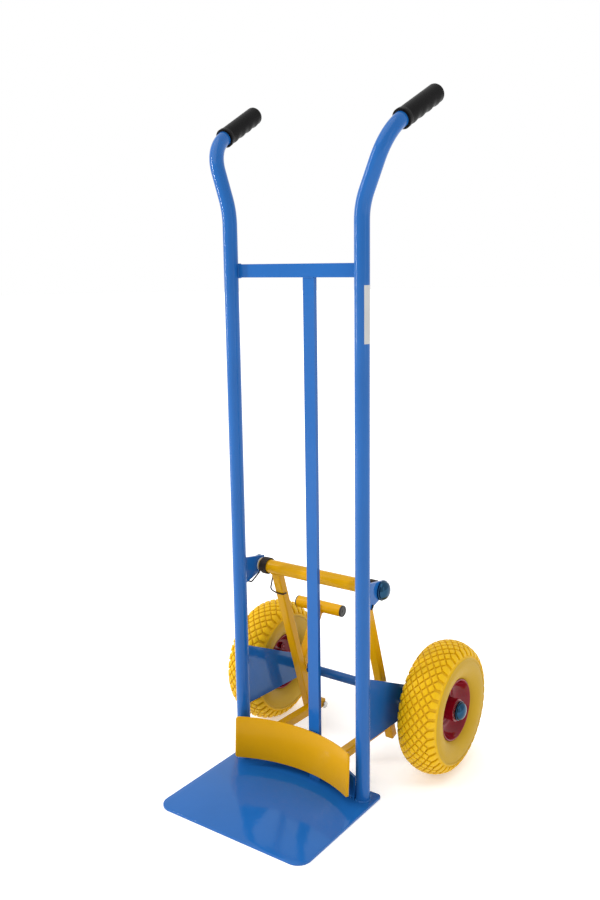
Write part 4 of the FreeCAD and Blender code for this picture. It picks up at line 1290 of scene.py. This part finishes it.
class TRUCK_OT_stage(PieceOperator):
    """Lays the pale floor and sets the white room, the soft lights and the camera"""

    bl_idname = "truck.stage"
    bl_label = "Studio"

    def execute(self, context):
        settings = context.scene.studio_settings
        self.floor()
        self.room(settings)
        self.lights(settings)
        self.camera(settings)
        context.scene.view_settings.view_transform = "Standard"
        context.scene.view_settings.look = "None"
        return {"FINISHED"}

    @staticmethod
    def floor():
        deselect()
        bpy.ops.mesh.primitive_circle_add(vertices=96, radius=30.0, fill_type="NGON")
        floor = bpy.context.object
        floor.name = "studio_floor"
        material, board = new_material("studio_floor")
        clouds = board.noise(0.8, 2.0)
        pale = board.mix(clouds, (0.90, 0.90, 0.90, 1.0), (0.93, 0.93, 0.93, 1.0))
        board.shade(Base_Color=pale, Roughness=0.8, Specular_IOR_Level=0.0, Emission_Color=pale,
                    Emission_Strength=0.35)
        floor.data.materials.append(material)

    @staticmethod
    def room(settings):
        """A white backdrop behind the truck and a dimmer room behind the camera."""
        world = bpy.data.worlds.new("studio")
        world.use_nodes = True
        world.node_tree.nodes.clear()
        board = Board(world.node_tree)
        view_way = (-0.58, 0.81, 0.0)
        ahead = board.node("VectorMath", {"operation": "DOT_PRODUCT"},
                           {0: board.place("Generated"), 1: view_way}, output="Value")
        dim = settings.dim_side
        shade = board.mix(board.step(ahead, -0.45, 0.35), (dim, dim, dim, 1.0), (1.0, 1.0, 1.0, 1.0))
        glow = board.node("Background", inputs={"Color": shade, "Strength": settings.room_light})
        board.close(glow, "World")
        bpy.context.scene.world = world

    def lights(self, settings):
        """A broad light overhead, a tall strip on the left and a panel on the right."""
        sun = self.lamp("SUN", "sky_panel", settings.sky_light, (0.0, 0.0, 0.0), Vector((0.25, 0.45, -1.0)))
        sun.angle = math.radians(60.0)
        aim = Vector((0.0, 0.0, 0.55))
        for name, power, place, panel in (("strip", settings.strip_light, (-2.7, -1.7, 1.7), (0.22, 2.6)),
                                          ("fill", settings.fill_light, (3.0, -0.4, 1.4), (1.2, 2.0))):
            area = self.lamp("AREA", name, power, place, aim - Vector(place))
            area.shape = "RECTANGLE"
            area.size, area.size_y = panel

    @staticmethod
    def lamp(kind, name, power, place, way):
        """A light at a place that shines a given way. Returns its settings."""
        data = bpy.data.lights.new(name, kind)
        data.energy = power
        lamp = bpy.data.objects.new(name, data)
        lamp.matrix_world = Matrix.Translation(place) @ way.to_track_quat("-Z", "Y").to_matrix().to_4x4()
        bpy.context.collection.objects.link(lamp)
        return data

    @staticmethod
    def camera(settings):
        turn, pitch, roll = settings.camera_turn, settings.camera_pitch, settings.camera_roll
        level = math.cos(pitch)
        forward = Vector((-math.sin(turn) * level, math.cos(turn) * level, -math.sin(pitch)))
        right = Vector((math.cos(turn), math.sin(turn), 0.0))
        up = right.cross(forward)
        x_axis = right * math.cos(roll) + up * math.sin(roll)
        y_axis = up * math.cos(roll) - right * math.sin(roll)
        data = bpy.data.cameras.new("studio_camera")
        data.sensor_fit = "VERTICAL"
        data.sensor_height = 36.0
        data.lens = settings.lens
        data.clip_end = 100.0
        camera = bpy.data.objects.new("studio_camera", data)
        turned_by = Matrix((x_axis, y_axis, forward * -1)).transposed().to_4x4()
        camera.matrix_world = Matrix.Translation(settings.camera_place) @ turned_by
        bpy.context.collection.objects.link(camera)
        bpy.context.scene.camera = camera


PIECE_OPERATORS = (
    TRUCK_OT_toe_plate,
    TRUCK_OT_pusher_plate,
    TRUCK_OT_uprights,
    TRUCK_OT_grips,
    TRUCK_OT_tyres,
    TRUCK_OT_rims,
    TRUCK_OT_caps,
    TRUCK_OT_pedal_caps,
    TRUCK_OT_welds,
    TRUCK_OT_fasteners,
    TRUCK_OT_springs,
    TRUCK_OT_paint_frame,
    TRUCK_OT_stage,
)


class TRUCK_PT_sidebar(bpy.types.Panel):
    """Lists the truck's pieces and their settings."""

    bl_label = "Hand truck"
    bl_idname = "TRUCK_PT_sidebar"
    bl_space_type = "VIEW_3D"
    bl_region_type = "UI"
    bl_category = "Hand truck"

    def draw(self, context):
        for operator in PIECE_OPERATORS:
            self.layout.operator(operator.bl_idname)
        for group in (context.scene.truck_sizes, context.scene.truck_colours, context.scene.studio_settings):
            box = self.layout.box()
            for name in group.bl_rna.properties.keys():
                if name not in ("rna_type", "name"):
                    box.prop(group, name)


CLASSES = (TruckSizes, TruckColours, StudioSettings, *PIECE_OPERATORS, TRUCK_PT_sidebar)


def register():
    for cls in CLASSES:
        bpy.utils.register_class(cls)
    bpy.types.Scene.truck_sizes = bpy.props.PointerProperty(type=TruckSizes)
    bpy.types.Scene.truck_colours = bpy.props.PointerProperty(type=TruckColours)
    bpy.types.Scene.studio_settings = bpy.props.PointerProperty(type=StudioSettings)


def unregister():
    del bpy.types.Scene.studio_settings
    del bpy.types.Scene.truck_colours
    del bpy.types.Scene.truck_sizes
    for cls in reversed(CLASSES):
        bpy.utils.unregister_class(cls)


def main():
    register()
    for operator in PIECE_OPERATORS:
        family, name = operator.bl_idname.split(".")
        getattr(getattr(bpy.ops, family), name)()


if __name__ == "__main__":
    main()
